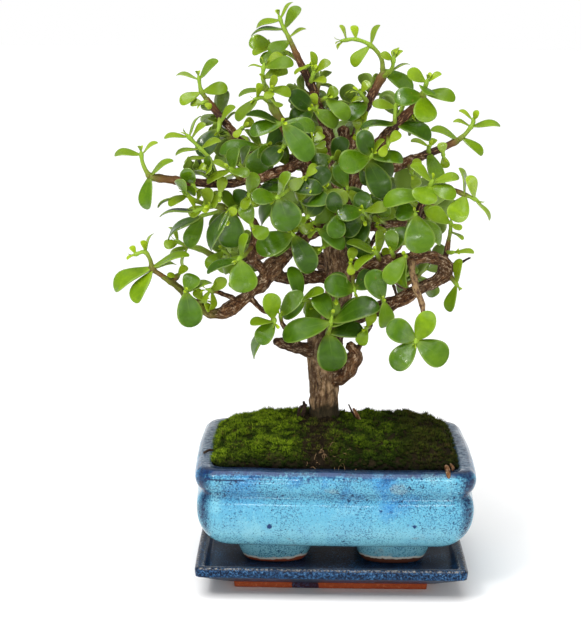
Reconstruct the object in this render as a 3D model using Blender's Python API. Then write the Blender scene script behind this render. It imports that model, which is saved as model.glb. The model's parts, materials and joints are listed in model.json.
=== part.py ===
"""Elephant bush bonsai: a glazed saucer and pot, soil, one branched trunk and its leafy shoots.

Every size below is in millimetres and is turned into metres when an object is made. X runs to
the viewer's right, Y away from the viewer and Z up. The origin is on the surface that the saucer
stands on, under the middle of the pot.
"""

import math
import random
from typing import NamedTuple

import bmesh
import bpy
import numpy as np
from mathutils import Vector

MM = 0.001
CLEAR = 0.3
CUT_GAP = 0.8

# Pot: a rounded rectangle, given by its level, how far it stands in from the widest line, and
# the radius of its corners.
POT_LENGTH = 158.0
POT_WIDTH = 120.0
POT_X = 1.6
POT_CORNER = 12.0
SIDE_BOW = 1.2
POT_BASE = 26.0
POT_FLOOR = 33.0
OUTER_POT = [(26.0, 21.5), (30.0, 11.5), (36.0, 5.4), (43.0, 2.0), (50.5, 0.8), (56.5, 1.3),
             (61.0, 3.1), (64.8, 1.1), (68.8, 0.0), (72.6, 0.5), (75.4, 3.2)]
INNER_POT = [(75.4, 9.0), (73.8, 10.2), (58.0, 11.0), (43.0, 13.0), (36.0, 19.0), (33.0, 27.0)]
FOOT_CENTRE = (34.0, 25.0)
FOOT_TOP_SIZE = (44.0, 28.0)
FOOT_BOTTOM_SIZE = (31.0, 18.0)
DRAIN_RADIUS = 7.0
DRAIN_X = 30.0
RING_CORNER_STEPS = 4
RING_SIDE_SHARES = (0.5,)

# Saucer
SAUCER_LENGTH = 154.0
SAUCER_WIDTH = 118.0
SAUCER_FLOOR = 14.0
SAUCER_CORNER = 4.0
SAUCER = [(0.0, 21.5), (3.6, 21.0), (4.4, 18.5), (12.6, 2.2), (13.6, 0.4), (17.6, 0.0),
          (18.5, 0.9), (18.5, 4.4), (17.7, 5.6), (14.6, 7.6), (14.0, 9.5)]

# Screens over the drain holes
SCREEN_SIZE = 22.0
SCREEN_THICK = 1.0
SCREEN_BARS = 4

# Soil
SOIL_EDGE = 73.6
SOIL_RISE = 18.5
SOIL_BOTTOM = POT_FLOOR + CLEAR + SCREEN_THICK + CLEAR
TRUNK_BASE = (-5.0, 8.0)
TRUNK_HOLE = 10.2
HOLE_TURN = 27.0
SOIL_STEPS = (0.0, 0.10, 0.24, 0.42, 0.64, 0.85, 1.0)
SOIL_BUMP = 1.0
CLUMP = 0.11

# Plant: its points are sighted from EYE, so each is given as it lines up on the plane y = 0
# through the trunk (x, z) and then how far behind that plane it lies (y).
EYE = Vector((-15.0, -894.0, 328.5))
WOOD_SIDES = 8
TWIG_SIDES = 6
TWIG_RADIUS = 4.7
WOOD_STEP = 16.0
STUB_PAST = 1.6
STEM_SIDES = 4
STEM_STEP = 12.0
STEM_RADIUS = (1.45, 0.95)
STEM_LEAST = 1.6
FULLER = 1.12
SINE_LEAST = 0.7
BUD_LENGTH = 2.4
BUD_RADIUS = 0.55
GOLDEN = 2.39996

# Leaf: each ring's place along it, its share of the width and its share of the thickness
LEAF_THICK = 0.17
LEAF_MAX_THICK = 2.2
LEAF_RINGS = [(0.0, 0.09, 0.4), (0.46, 0.86, 1.0), (0.84, 0.88, 0.9)]
SMALL_RINGS = [(0.0, 0.12, 0.5), (0.62, 1.0, 1.0)]
SMALL_WIDTH = 8.0
LEAF_ARCH = 0.12
LEAF_CUP = 0.10
LEAF_SLENDER = 0.5

# Keeping leaves apart: where a leaf is probed, its least gaps, and the swings tried in turn
PROBE_ALONG = (0.30, 0.42, 0.54, 0.66, 0.78, 0.90, 1.0)
PROBE_ACROSS = (-0.9, -0.45, 0.0, 0.45, 0.9)
PROBE_GAP = 2.7
WOOD_GAP = 1.9
SWINGS = [(0, 0), (10, 0), (-10, 0), (20, 0), (-20, 0), (0, 10), (0, -10), (30, 0), (-30, 0), (15, 12),
          (-15, 12), (15, -12), (-15, -12), (42, 0), (-42, 0), (30, 15), (-30, 15), (30, -15),
          (-30, -15),
          (0, 22), (0, -22), (50, 12), (-50, 12), (50, -12), (-50, -12), (25, 28), (-25, 28),
          (25, -28),
          (-25, -28), (60, 0), (-60, 0)]

# Each limb: points of (x, z, y, radius), from the trunk outwards.
LIMBS = {
    "trunk": [(-5, 58, 8, 9.0), (-5, 80, 8, 9.0), (-4.6, 97, 8, 8.6), (-4.6, 110, 8, 8.5),
              (-5.5, 124, 8, 9.0),
              (-5, 137, 8, 9.6), (-1, 150, 8, 8.2), (2.5, 163, 8, 7.6), (3.5, 178, 8, 8.0),
              (1, 192, 8, 7.0),
              (4, 206, 9, 6.0), (8, 221, 10, 5.2), (12, 234, 11, 4.4)],
    "hook": [(-1, 113, 6, 4.6), (7, 118.5, 1, 4.3), (12, 125, -1, 3.9), (12.6, 131, -1, 3.4),
             (9, 135.5, -1, 2.8)],
    "hook_twig": [(12.5, 128, -1, 1.8), (15.5, 134, -2, 1.5), (18.5, 141, -3, 1.4),
                  (22.5, 148, -4, 1.2)],
    "low_left": [(-8, 131, 6, 4.6), (-17, 133, 2, 3.6), (-26, 135, -2, 2.9), (-34, 137, -5, 2.3)],
    "low_left_twig": [(-20, 134, 0, 1.9), (-26, 142, -5, 1.6), (-30, 148, -9, 1.4)],
    "long_left": [(-1, 205, 8, 5.2), (-12, 203, 5, 4.8), (-19, 197.5, 2, 4.4), (-27, 189, -1, 4.2),
                  (-35, 180, -4, 4.3), (-42, 171.5, -7, 3.4), (-50, 164.5, -10, 3.1),
                  (-58, 157.5, -12, 3.6),
                  (-66, 153, -14, 3.0), (-74, 154.8, -16, 2.6), (-81, 160, -18, 2.3),
                  (-88, 166, -20, 2.1),
                  (-96, 172.5, -22, 1.9)],
    "long_left_root": [(-1, 176, 8, 4.2), (-14, 175.5, 4, 3.6), (-27, 174.5, 0, 3.3),
                       (-37, 177, -4, 3.2)],
    "long_left_twig": [(-50, 164.5, -10, 1.8), (-44, 157.5, -12, 1.6), (-36, 153.5, -14, 1.4)],
    "long_left_spur": [(-55, 160, -11, 1.8), (-61, 163.5, -16, 1.5), (-66, 165.5, -20, 1.3)],
    "rise_left": [(-36, 178, -4, 3.0), (-43.5, 181, -8, 2.9), (-47.5, 188, -12, 2.6),
                  (-46, 198, -13, 2.5),
                  (-47, 206, -13, 2.4), (-54, 212, -14, 2.2), (-64, 215.3, -16, 2.0),
                  (-76, 217.5, -18, 1.6)],
    "rise_spur": [(-47.5, 186, -11, 2.0), (-57, 181.5, -4, 1.9), (-67, 185, 2, 1.9),
                  (-76, 190.5, 4, 1.8),
                  (-84, 192.5, 5, 1.4)],
    "mid_left": [(3, 212, 9, 4.6), (-6, 222, 4, 4.2), (-14, 232, 0, 3.8), (-19, 243, -2, 3.4),
                 (-24.5, 252, -3, 3.1), (-30, 262, -3, 2.8), (-35, 271, -2, 2.6),
                 (-39, 280, 0, 2.3)],
    "far_left": [(-19, 242, -2, 2.8), (-32, 236.5, -8, 2.7), (-45, 231.5, -13, 2.6),
                 (-58, 229, -18, 2.5),
                 (-72, 229, -22, 2.4), (-90, 230.5, -26, 2.3), (-106, 232.3, -29, 2.2)],
    "high_left": [(-18, 240, -2, 2.8), (-34, 245.5, 12, 2.6), (-48, 248.5, 22, 2.5),
                  (-56, 255, 26, 2.4),
                  (-64, 264.5, 29, 2.2), (-74, 277, 32, 2.0)],
    "leader_left": [(10, 228, 11, 4.0), (3.5, 239, 12, 3.8), (-2, 250, 13, 3.4), (-6, 261, 14, 3.2),
                    (-10, 272, 15, 2.9), (-13.5, 283, 15, 2.6), (-19, 294, 16, 2.2),
                    (-23, 302, 17, 1.8),
                    (-26, 308.5, 18, 1.5)],
    "cut_stub": [(7, 240, 12, 3.2), (5, 250, 15, 3.3), (3.8, 261, 18, 3.1)],
    "leader_right": [(12, 234, 11, 3.6), (10, 246, 15, 3.2), (11.5, 259, 19, 3.0),
                     (15, 270, 22, 2.8),
                     (20, 280.5, 25, 2.6), (26.5, 292.5, 28, 2.6)],
    "high_right": [(11, 233, 11, 3.4), (19, 246.5, 6, 3.2), (28, 257.5, 0, 3.0), (36, 266, -5, 2.6),
                   (44, 274, -10, 2.3), (49, 280.5, -13, 2.1)],
    "far_right": [(12, 231, 11, 3.2), (24, 236.5, 17, 2.8), (36, 240.5, 22, 2.7),
                  (48, 245.5, 27, 2.5),
                  (60, 250.5, 31, 2.2), (69, 255, 34, 1.9)],
    "right_low": [(2, 147, 6, 4.6), (15, 153, 0, 4.2), (28, 158, -4, 4.0), (40, 163.5, -6, 3.7),
                  (50, 169, -5, 3.5), (58, 173.5, -3, 3.4), (65, 179, -1, 3.4)],
    "right_top": [(4, 183, 6, 4.6), (17, 181.5, 0, 3.8), (30, 184.6, -5, 3.4), (43, 187, -8, 3.3),
                  (54, 187.6, -7, 3.2), (62, 185.5, -4, 3.2), (65, 179.5, -1, 3.3)],
    "right_front_twig": [(44.5, 186, -9, 2.1), (45.3, 178, -16, 1.9), (47.5, 169.5, -20, 1.8),
                         (51, 161, -23, 1.6),
                         (52.5, 153, -26, 1.4), (50.5, 145, -30, 1.3)],
    "right_rise": [(45.5, 187, -8, 2.4), (46, 199, -12, 2.2), (47, 212, -16, 2.1),
                   (51, 221, -20, 1.8),
                   (59, 227, -24, 1.6), (68, 226.5, -28, 1.4), (74, 224, -30, 1.3)],
    "right_rear": [(4, 203, 9, 3.4), (16, 204.5, 18, 2.8), (28, 206, 26, 2.3), (40, 207, 33, 1.8)],
    "right_rear_twig": [(27, 206, 25, 1.7), (23.5, 199, 22, 1.5), (19, 190, 16, 1.3)],
    "right_end": [(63, 184, -3, 2.0), (64.6, 191, -1, 1.6), (65.6, 198, 1, 1.4)],
    "right_dead": [(64, 182.5, -2, 1.3), (71, 184.8, -1, 1.0), (78.5, 188, 0, 0.8)],
    "right_dead_low": [(36, 162, -5, 0.9), (36.2, 167, -7, 0.8), (34.2, 171.5, -9, 1.2)],
    "back_left": [(2, 180, 10, 5.0), (-12, 188, 28, 4.2), (-25, 198, 44, 3.2),
                  (-36, 212, 58, 2.4), (-44, 228, 66, 1.8)],
    "back_left_low": [(-19, 193, 36, 2.6), (-34, 190, 50, 2.0), (-48, 184, 60, 1.5)],
    "back_mid": [(3, 190, 11, 4.6), (6, 202, 32, 3.6), (4, 216, 50, 2.8), (0, 232, 62, 2.1),
                 (-4, 248, 68, 1.6)],
    "back_right": [(4, 176, 11, 4.8), (17, 181, 30, 3.8), (31, 190, 47, 2.9),
                   (44, 203, 60, 2.2), (54, 218, 66, 1.6)],
    "back_right_low": [(18, 182, 32, 2.6), (30, 178, 50, 2.0), (40, 170, 64, 1.5)],
}

# Where the outer end of a limb is young wood, which belongs to one spray with the shoots on it.
SPRAY_STARTS = {"high_left": 3.9, "far_left": 3.2, "rise_left": 4.9, "rise_spur": 1.3, "mid_left": 4.9,
                "leader_left": 5.0, "leader_right": 3.1, "high_right": 2.35, "far_right": 3.1,
                "right_rise": 1.7, "right_end": 0.75}

# Hidden side: each limb and place that a shoot grows from there, by the rule in back_shoot.
BACK_PLACES = [("back_left", 2.6), ("back_left", 4.0), ("back_left_low", 2.0), ("back_mid", 2.3),
               ("back_mid", 3.2), ("back_mid", 4.0), ("back_right", 2.7), ("back_right", 4.0),
               ("back_right_low", 2.0), ("right_rear", 3.0)]
BACK_SEED = 11


class Shoot(NamedTuple):
    """A leafy shoot: the limb and the place along it that it grows from, its route, its leaves.

    A route point is (x, z, how far behind the shoot's base). A leaf is (place along the route from
    0 to 1, tip x, tip z, how far the tip lies behind its root, tilt of its face away from the
    viewer in degrees, width).
    """

    limb: str
    station: float
    route: list
    leaves: list


SHOOTS = [
    # Left side, from the top down
    Shoot("high_left", 5.0, [(-77, 282, 0), (-78, 288, 0)],
          [(0.4, -61.5, 282.5, -3, 25, 8.5), (0.4, -88.5, 273.5, -4, 35, 7),
           (1, -67, 298.5, -3, 50, 7),
           (1, -91, 289.5, 3, 82, 5)]),
    Shoot("high_left", 4.2, [(-66.5, 262, -6), (-67, 260, -8)],
          [(1, -78, 244.5, -4, 8, 13), (0.6, -54, 268.5, 2, 60, 6)]),
    Shoot("far_left", 3.5, [(-69, 236, 2), (-72, 243, 4), (-78, 249.5, 4), (-84, 255.5, 3)],
          [(1, -98, 254.5, -2, 62, 6), (1, -76.5, 267, 5, 80, 4), (0.95, -74, 262.5, -4, 72, 4.5),
           (0.72, -91.5, 244.5, -2, 72, 4.5), (0.72, -65.5, 253, 5, 60, 5),
           (0.5, -86.5, 241, -4, 62, 5)]),
    Shoot("far_left", 6.0, [(-108.5, 236, 0), (-110.5, 241, 0), (-111, 245, -1)],
          [(0.06, -93, 242, -3, 58, 5.5), (0.06, -108, 213.5, -5, 30, 7.5),
           (1, -126.5, 245, 0, 58, 5.5),
           (1, -102, 252.3, -3, 68, 4.5)]),
    Shoot("rise_left", 7.0, [(-81, 219.5, -3), (-86, 223, -6)],
          [(1, -79.5, 240.5, -4, 28, 8.5), (1, -86, 239, 7, 40, 7), (0.9, -102, 214.5, -2, 74, 4),
           (0.9, -95, 215.5, -8, 40, 8), (0.3, -75.5, 226, 4, 50, 5)]),
    Shoot("rise_left", 6.4, [(-74, 215, -7), (-80, 213.5, -11)],
          [(1, -101, 209, -2, 70, 5), (1, -84, 220.5, -9, 45, 5), (0.5, -71, 226.5, -5, 45, 8)]),
    Shoot("rise_left", 5.8, [(-68, 212.5, 6), (-76, 210.5, 8)],
          [(1, -84, 191.5, -5, 20, 10), (1, -96.5, 196.5, 4, 68, 7), (0.3, -70, 200, 6, 35, 9)]),
    Shoot("rise_spur", 4.0, [(-87, 193.5, 0), (-90, 195, 0)],
          [(0.1, -96, 184.5, 4, 52, 6), (1, -98, 191.5, -4, 35, 7), (1, -95, 204, 5, 65, 6),
           (0.1, -88, 180.5, -5, 74, 4)]),
    Shoot("long_left", 12.0, [(-101, 176, 0), (-105, 179, -1), (-106.5, 184.5, -2),
                              (-109.5, 189, -2), (-114.5, 187.5, -3)],
          [(0.33, -128, 167, -2, 55, 7), (0.33, -83.5, 186.5, -4, 50, 6),
           (0.28, -114, 158, -8, 52, 7),
           (0.28, -91.5, 182, 8, 74, 4), (0.75, -111, 195.5, -2, 55, 4.5),
           (0.75, -104.7, 200, 3, 80, 3.5),
           (1, -118, 192, 1, 40, 4), (1, -120, 184.5, -3, 60, 3.5)]),
    Shoot("long_left", 10.7, [(-86, 165, -5), (-86, 166, -9)],
          [(1, -83, 144.5, -6, 8, 14.5), (1, -80.5, 176, 4, 12, 10.5),
           (0.5, -70.5, 168.5, 8, 62, 6)]),
    Shoot("long_left_spur", 2.0, [(-69, 166.5, -2), (-72, 167, -3)],
          [(0.5, -65.5, 177.5, -4, 25, 7), (1, -74, 175, 2, 50, 6), (0.5, -67, 156, 3, 55, 6),
           (1, -75, 159.5, -5, 55, 6)]),
    Shoot("rise_left", 2.6, [(-51, 189, -8), (-55, 185.5, -14)],
          [(1, -52, 165.3, -6, 8, 16.5), (1, -73.5, 176.5, -4, 50, 7),
           (0.9, -49.5, 200, -6, 52, 6.5),
           (0.6, -63, 177.5, 6, 38, 9)]),
    Shoot("rise_spur", 1.6, [(-61, 187.5, -4), (-64, 190, -7)],
          [(1, -73, 179, -5, 32, 9), (1, -61, 200, 4, 45, 8), (0.5, -72, 195, 7, 35, 9)]),
    Shoot("rise_left", 5.2, [(-57, 215.5, -5), (-60, 214.5, -9)],
          [(1, -59, 191.5, -5, 12, 15.5), (1, -72, 190.5, 5, 32, 9),
           (0.5, -68, 222.5, -3, 28, 10), (0.5, -50, 224.5, -2, 20, 12)]),
    Shoot("far_left", 2.6, [(-55, 233, -5), (-60, 237, -9)],
          [(1, -50, 232.5, -8, 45, 8), (1, -73.5, 229, -5, 40, 8), (0.8, -57, 250, 3, 45, 9),
           (1, -71, 241, 2, 52, 7)]),
    Shoot("high_left", 1.7, [(-43, 250.5, -8), (-40, 251, -14)],
          [(1, -45, 233, -6, 12, 17), (0.4, -66.5, 246.5, -3, 38, 9), (1, -29, 258, 0, 35, 11),
           (0.4, -52, 259.5, 6, 45, 9)]),
    # Centre left
    Shoot("mid_left", 1.9, [(-22, 229, -9), (-33, 221.5, -18)],
          [(1, -50, 219.5, -6, 15, 10), (1, -25.5, 235.5, -7, 48, 5.5),
           (0.95, -26, 201.8, -7, 8, 18),
           (0.85, -52.5, 210.5, 4, 32, 10), (0.5, -45, 229, 2, 35, 10),
           (0.5, -7.5, 226, -4, 32, 10)]),
    Shoot("mid_left", 0.9, [(-6.5, 223, -11), (-6, 226, -15)],
          [(1, -14, 239, -4, 20, 10.5), (1, 7, 219, -3, 25, 8.5), (0.5, -17, 217, 5, 40, 10)]),
    Shoot("long_left", 1.4, [(-16, 211, -7), (-19, 219, -10)],
          [(1, -3, 208, -4, 35, 12), (0.6, -31, 212, 9, 38, 10)]),
    Shoot("long_left", 2.5, [(-22, 197.5, -8), (-24, 200, -11)],
          [(1, -44.5, 188.5, -4, 15, 15), (1, -13, 178, -5, 14, 13.5), (0.5, -29, 187, 9, 35, 10)]),
    Shoot("trunk", 6.6, [(-12, 161, -9), (-19, 162, -14)],
          [(1, -25.5, 181, -3, 25, 10), (1, -5.5, 167, -6, 50, 6), (0.8, -30, 152, -4, 22, 12),
           (0.7, -12, 147, 5, 32, 12)]),
    Shoot("trunk", 4.8, [(-3, 142, -15), (-1.5, 148, -19), (-1, 151, -20)],
          [(0.3, 0, 119.5, -6, 10, 17.5), (0.3, 17.5, 140.5, 3, 38, 10),
           (0.85, -29.5, 139.5, -5, 20, 13.5),
           (0.85, 27, 158, -5, 30, 10.5), (0.95, -11, 164.5, 6, 25, 13),
           (0.6, 25, 149.5, 6, 45, 9)]),
    Shoot("long_left_twig", 2.0, [(-35, 151.5, -3), (-34.5, 149, -6)],
          [(0.6, -38.5, 166, -4, 20, 11), (1, -43, 135.5, -5, 20, 11.5), (1, -48.5, 146, -6, 45, 5),
           (0.6, -44.5, 126.5, 6, 58, 5)]),
    Shoot("low_left_twig", 2.0, [(-31, 150, -2), (-31, 152, -4)],
          [(1, -18.5, 166.5, -4, 20, 10), (1, -24, 139.5, 6, 42, 8)]),
    Shoot("mid_left", 7.0, [(-40.5, 284, 0), (-42, 290, 1), (-41.5, 295, 1)],
          [(0.2, -26, 280, -4, 48, 6), (0.2, -55.5, 278, -3, 62, 5), (0.2, -43.7, 291, -6, 70, 4),
           (0.6, -28, 294.5, 5, 30, 8), (1, -24.5, 297, -4, 42, 7), (1, -50.5, 295.5, 2, 80, 4),
           (1, -30.5, 301.5, 4, 50, 6)]),
    Shoot("mid_left", 6.4, [(-42, 278, -3), (-45, 277.5, -5)],
          [(1, -56, 264, -4, 33, 9), (1, -51, 284, 3, 50, 6), (0.3, -37, 262, -7, 40, 7)]),
    Shoot("mid_left", 5.1, [(-31, 263.5, -7), (-30.5, 264, -10)],
          [(1, -14.5, 242.5, -5, 12, 13.5), (1, -49, 257, -2, 30, 10), (0.7, -12, 260.5, 5, 28, 9),
           (0.6, -52, 266, -6, 48, 7)]),
    Shoot("leader_left", 3.8, [(-12.5, 271, -7), (-13.5, 272, -11)],
          [(1, -27.5, 280, -3, 18, 13.5), (1, -25.5, 265, -5, 12, 13), (0.8, 0, 262, 2, 30, 10)]),
    Shoot("leader_left", 4.3, [(-8, 277, -4), (-6.5, 278, -6)],
          [(1, 1, 282.5, -2, 32, 7.5), (1, 6.5, 265, -4, 24, 10)]),
    Shoot("leader_left", 5.3, [(-14.5, 288, -3), (-13.5, 291.5, -5)],
          [(1, -3.5, 298, -2, 58, 5), (0.4, -5.8, 287.3, -3, 58, 5), (1, -19, 302, 5, 50, 5)]),
    Shoot("leader_left", 6.6, [(-28, 303, 7), (-36, 307, 11)],
          [(1, -50, 308.5, -3, 22, 9.5), (1, -47.5, 301.5, -7, 48, 6),
           (0.5, -43.5, 297, -2, 30, 8)]),
    Shoot("leader_left", 6.0, [(-17.5, 295.5, -3), (-16.5, 296, -5)],
          [(1, -7.3, 302, 2, 33, 7), (1, -24, 291, -4, 50, 5)]),
    Shoot("leader_left", 8.0, [(-28, 312.5, 1), (-31, 318, 2), (-32.5, 322, 2)],
          [(0.1, -38.5, 302, -4, 20, 9), (0.25, -17.8, 316.5, 1, 64, 4.5),
           (0.6, -49, 313.5, -2, 75, 4),
           (0.6, -21.5, 328.5, -4, 40, 7), (0.95, -46, 317.3, 3, 60, 5),
           (1, -25, 330.5, 4, 66, 4.5)]),
    # Centre right
    Shoot("leader_right", 4.9, [(24.5, 301, 1), (18, 308, 1), (10, 311, 1), (3.5, 310.3, 1)],
          [(0.1, 37.5, 276.5, -4, 28, 9), (0.55, 8.5, 296.3, -3, 35, 7),
           (0.55, 23.7, 319, 1, 62, 4.5),
           (0.8, 8.3, 318.7, 1, 30, 5), (0.95, 0.5, 318.5, -2, 58, 4),
           (1, -0.5, 305.5, 2, 66, 3.5)]),
    Shoot("leader_right", 4.7, [(30.5, 294.5, -5), (31.5, 300, -7)],
          [(1, 24.5, 302.7, -3, 35, 6.5), (1, 36.8, 305, 2, 60, 4.5), (0.5, 41, 297, 2, 78, 4),
           (1, 33.5, 306, 6, 40, 6)]),
    Shoot("leader_right", 3.5, [(15.5, 278.5, -5), (13.5, 281, -7)],
          [(0.2, 6.5, 264, -6, 25, 12), (0.5, 8, 276.5, 4, 45, 6),
           (1, 18.5, 287.5, -1, 35, 5.5), (1, 7.5, 281.5, -3, 72, 3.5)]),
    Shoot("high_right", 4.85, [(49.5, 284, -3), (50.5, 287.5, -4)],
          [(0.1, 50.3, 264.3, -6, 10, 14), (0.1, 32.5, 277.5, -3, 20, 11.5),
           (0.3, 67, 278, -4, 30, 7),
           (0.7, 50, 279.5, -10, 30, 11), (1, 39, 293.3, -3, 20, 7.5), (1, 58.7, 292.3, 2, 40, 5)]),
    Shoot("high_right", 2.7, [(33, 267.5, -4), (33.3, 273.5, -5)],
          [(1, 20, 274.5, -3, 30, 7.5), (1, 37.8, 277.5, 2, 55, 4.5),
           (0.1, 14, 260.5, -5, 56, 6), (0.1, 54, 256.3, -3, 38, 7.5)]),
    Shoot("high_right", 0.5, [(17, 242, -9), (20, 246, -15)],
          [(1, 11, 260.5, -5, 12, 12.5), (1, 29, 253.5, 2, 58, 5), (0.9, 1.8, 239, -6, 12, 14.5),
           (0.9, 38, 242.5, 4, 40, 8.5), (0.5, 28, 222, -3, 15, 14), (0.5, 33.5, 235.5, 8, 48, 7)]),
    Shoot("far_right", 5.0, [(73, 258.5, 0), (77, 264, 0), (77.5, 266.5, 0)],
          [(0.05, 53.7, 261.3, -2, 60, 5), (0.2, 83, 246.3, -3, 42, 6.5),
           (0.75, 93, 263.7, -2, 52, 6.5),
           (0.75, 66, 265.8, 3, 74, 4), (1, 80, 271.5, -4, 35, 5), (1, 69, 271.8, 1, 60, 4)]),
    Shoot("far_right", 3.4, [(52.5, 250.5, -6), (53, 251.5, -8)],
          [(1, 42.5, 254.8, -2, 60, 5), (1, 56.5, 255.5, 2, 42, 6.5),
           (0.2, 57.8, 229.5, -5, 24, 11)]),
    Shoot("right_rise", 3.3, [(53, 227, -4), (55, 231, -7)],
          [(1, 42.3, 240.7, 2, 48, 6.5), (1, 70.7, 233.5, -2, 42, 8), (0.8, 49.5, 218, -8, 12, 15),
           (0.8, 68.5, 221, -5, 22, 10), (0.2, 27.5, 217.5, -2, 38, 9)]),
    Shoot("right_rise", 6.0, [(77, 223, 0), (80, 221.5, 0)],
          [(0.05, 67, 238.5, -1, 70, 4), (0.05, 69, 208, -5, 12, 12.5),
           (1, 73, 234.7, -1, 42, 5.5), (1, 88.5, 209.3, -3, 66, 4.5)]),
    Shoot("right_rise", 1.9, [(46, 210, -6), (46, 212.5, -9)],
          [(1, 50, 190.3, -6, 8, 17.5), (1, 35, 214.5, 3, 22, 13), (0.5, 61.5, 196, 7, 38, 10)]),
    Shoot("right_end", 2.0, [(66.4, 203, 0), (66.5, 207.5, -2)],
          [(1, 52, 214.5, -4, 28, 9.5), (1, 72, 203, -3, 38, 7), (0.5, 73.3, 197.5, -6, 60, 6),
           (0.1, 58.5, 196.5, 2, 52, 6)]),
    Shoot("right_end", 1.0, [(67, 190.5, -3), (68, 190.7, -4)], [(1, 80.5, 190, -3, 52, 6),
                                                                 (0.6, 58, 193, 6, 45, 7)]),
    Shoot("right_rear", 1.2, [(20, 209, -15), (17, 212.5, -24), (16, 214, -28)],
          [(1, 0.8, 211, -5, 15, 11), (1, 30.3, 215, -5, 44, 7.5), (0.6, 9, 191.5, -7, 12, 14.5),
           (0.7, 9, 222.5, 6, 28, 11), (0.7, 26, 221.5, 6, 30, 10.5)]),
    Shoot("trunk", 9.3, [(-6, 202.5, -11), (-10, 203, -16)],
          [(1, -14, 198.5, -9, 55, 6.5), (1, 5.3, 192, -4, 28, 9.5)]),
    Shoot("right_top", 1.8, [(26, 188.5, -5), (24, 190, -9)],
          [(1, 11.7, 180.3, -4, 52, 7), (1, 5.8, 191, 3, 45, 9), (0.5, 24.5, 203, 3, 38, 8)]),
    Shoot("right_top", 2.4, [(33.5, 189, -5), (33, 190.5, -8)], [(1, 34.3, 204, -4, 24, 9),
                                                                 (1, 42, 203.5, 5, 32, 9.5)]),
    Shoot("right_top", 2.9, [(41, 189, -5), (40.7, 188.5, -8)], [(1, 31, 171.5, -4, 18, 11),
                                                                 (1, 40.3, 169.5, 4, 55, 8)]),
    Shoot("right_low", 2.1, [(29.5, 161, -6), (29, 162, -9)], [(1, 21, 179, -5, 12, 13.5),
                                                               (1, 34, 145, -5, 20, 11)]),
    Shoot("right_front_twig", 5.0, [(49.5, 141, -3), (48.3, 138.3, -6)],
          [(0.95, 31.5, 147.5, -3, 12, 14), (0.95, 57.8, 155.3, -3, 12, 13),
           (1, 35.5, 121.5, -5, 10, 13.5), (1, 66.5, 126.5, -5, 10, 15.5)]),
    Shoot("right_top", 0.5, [(11, 172, -7), (12, 168, -11)], [(1, -5.5, 171.5, -4, 12, 14.5),
                                                              (0.9, 25, 174.5, 3, 25, 12)]),
    Shoot("right_top", 5.9, [(68, 176.5, -2), (69, 174.5, -3)], [(1, 68, 155.5, -4, 38, 7),
                                                                 (1, 73.5, 187, -3, 40, 7)]),
]


class Leaf(NamedTuple):
    """One leaf: where its root and tip are, the way its upper face looks, and its width."""

    root: np.ndarray
    tip: np.ndarray
    face: np.ndarray
    width: float


def sighted(x, z, y):
    """Move the point that lines up at (x, 0, z) along the line of sight to the depth y."""
    reach = (y - EYE.y) / -EYE.y
    return np.array(EYE + (Vector((x, 0.0, z)) - EYE) * reach)


def unit(vector):
    """Return the vector at a length of one."""
    return vector / max(np.linalg.norm(vector), 1e-9)


def smooth_route(points, step):
    """Run a smooth curve through the points (x, y, z, radius), with a point every step or so."""
    points = np.asarray(points, dtype=float)
    padded = np.vstack([2 * points[0] - points[1], points, 2 * points[-1] - points[-2]])
    route = []
    for i in range(1, len(padded) - 2):
        before, start, end, after = padded[i - 1:i + 3]
        parts = max(1, round(np.linalg.norm((end - start)[:3]) / step))
        for k in range(parts):
            t = k / parts
            square = 2 * before - 5 * start + 4 * end - after
            cube = 3 * start - before - 3 * end + after
            route.append(0.5 * (2 * start + (end - before) * t + square * t ** 2 + cube * t ** 3))
    route.append(padded[-2])
    return np.array(route)


def limb_points(name):
    """Return the limb's own points as rows of x, y, z, radius."""
    return np.array([[*sighted(x, z, y), radius] for x, z, y, radius in LIMBS[name]])


def at_station(points, station):
    """Return the row that lies at a place along the points, such as 2.5 for halfway from 2 to 3."""
    start = min(int(station), len(points) - 2)
    return points[start] + (points[start + 1] - points[start]) * (station - start)


def cut_points(points, start=0.0, end=None):
    """Return the points from one station to another, with the cut places added."""
    last = len(points) - 1 if end is None else end
    inner = [points[i] for i in range(len(points)) if start < i < last]
    return np.array([at_station(points, start), *inner, at_station(points, last)])


def limb_heading(limb, station):
    """Return the way that the limb runs at a station."""
    points = limb_points(limb)[:, :3]
    start = min(int(station), len(points) - 2)
    return unit(points[start + 1] - points[start])


def stem_rows(limb, station, through):
    """Return a shoot's stem, tapering from just outside its limb, through its points, to its tip.

    Points too near the limb are passed over. On a spray the stem starts on the limb's own axis,
    so that the two are fused.
    """
    base = at_station(limb_points(limb), station)
    on_spray = limb in SPRAY_STARTS and station > SPRAY_STARTS[limb]
    sine = np.linalg.norm(np.cross(unit(through[0] - base[:3]), limb_heading(limb, station)))
    out = 0.0 if on_spray else base[3] * FULLER / max(sine, SINE_LEAST) + STUB_PAST + CLEAR
    far = [point for point in through if np.linalg.norm(point - base[:3]) > out + STEM_LEAST]
    if not far:
        far = [base[:3] + unit(through[-1] - base[:3]) * (out + 2.0 * STEM_LEAST)]
    places = np.vstack([base[:3] + unit(far[0] - base[:3]) * out, far])
    start = min(STEM_RADIUS[0], base[3] * 0.85)
    radii = np.linspace(start, STEM_RADIUS[1], len(places))
    return np.column_stack([places, radii])


def along_route(rows, share):
    """Return the place that lies a share of the way along the route."""
    lengths = np.linalg.norm(np.diff(rows[:, :3], axis=0), axis=1)
    reach = np.concatenate([[0.0], np.cumsum(lengths)]) / lengths.sum()
    return np.array([np.interp(share, reach, rows[:, axis]) for axis in range(3)])


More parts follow.
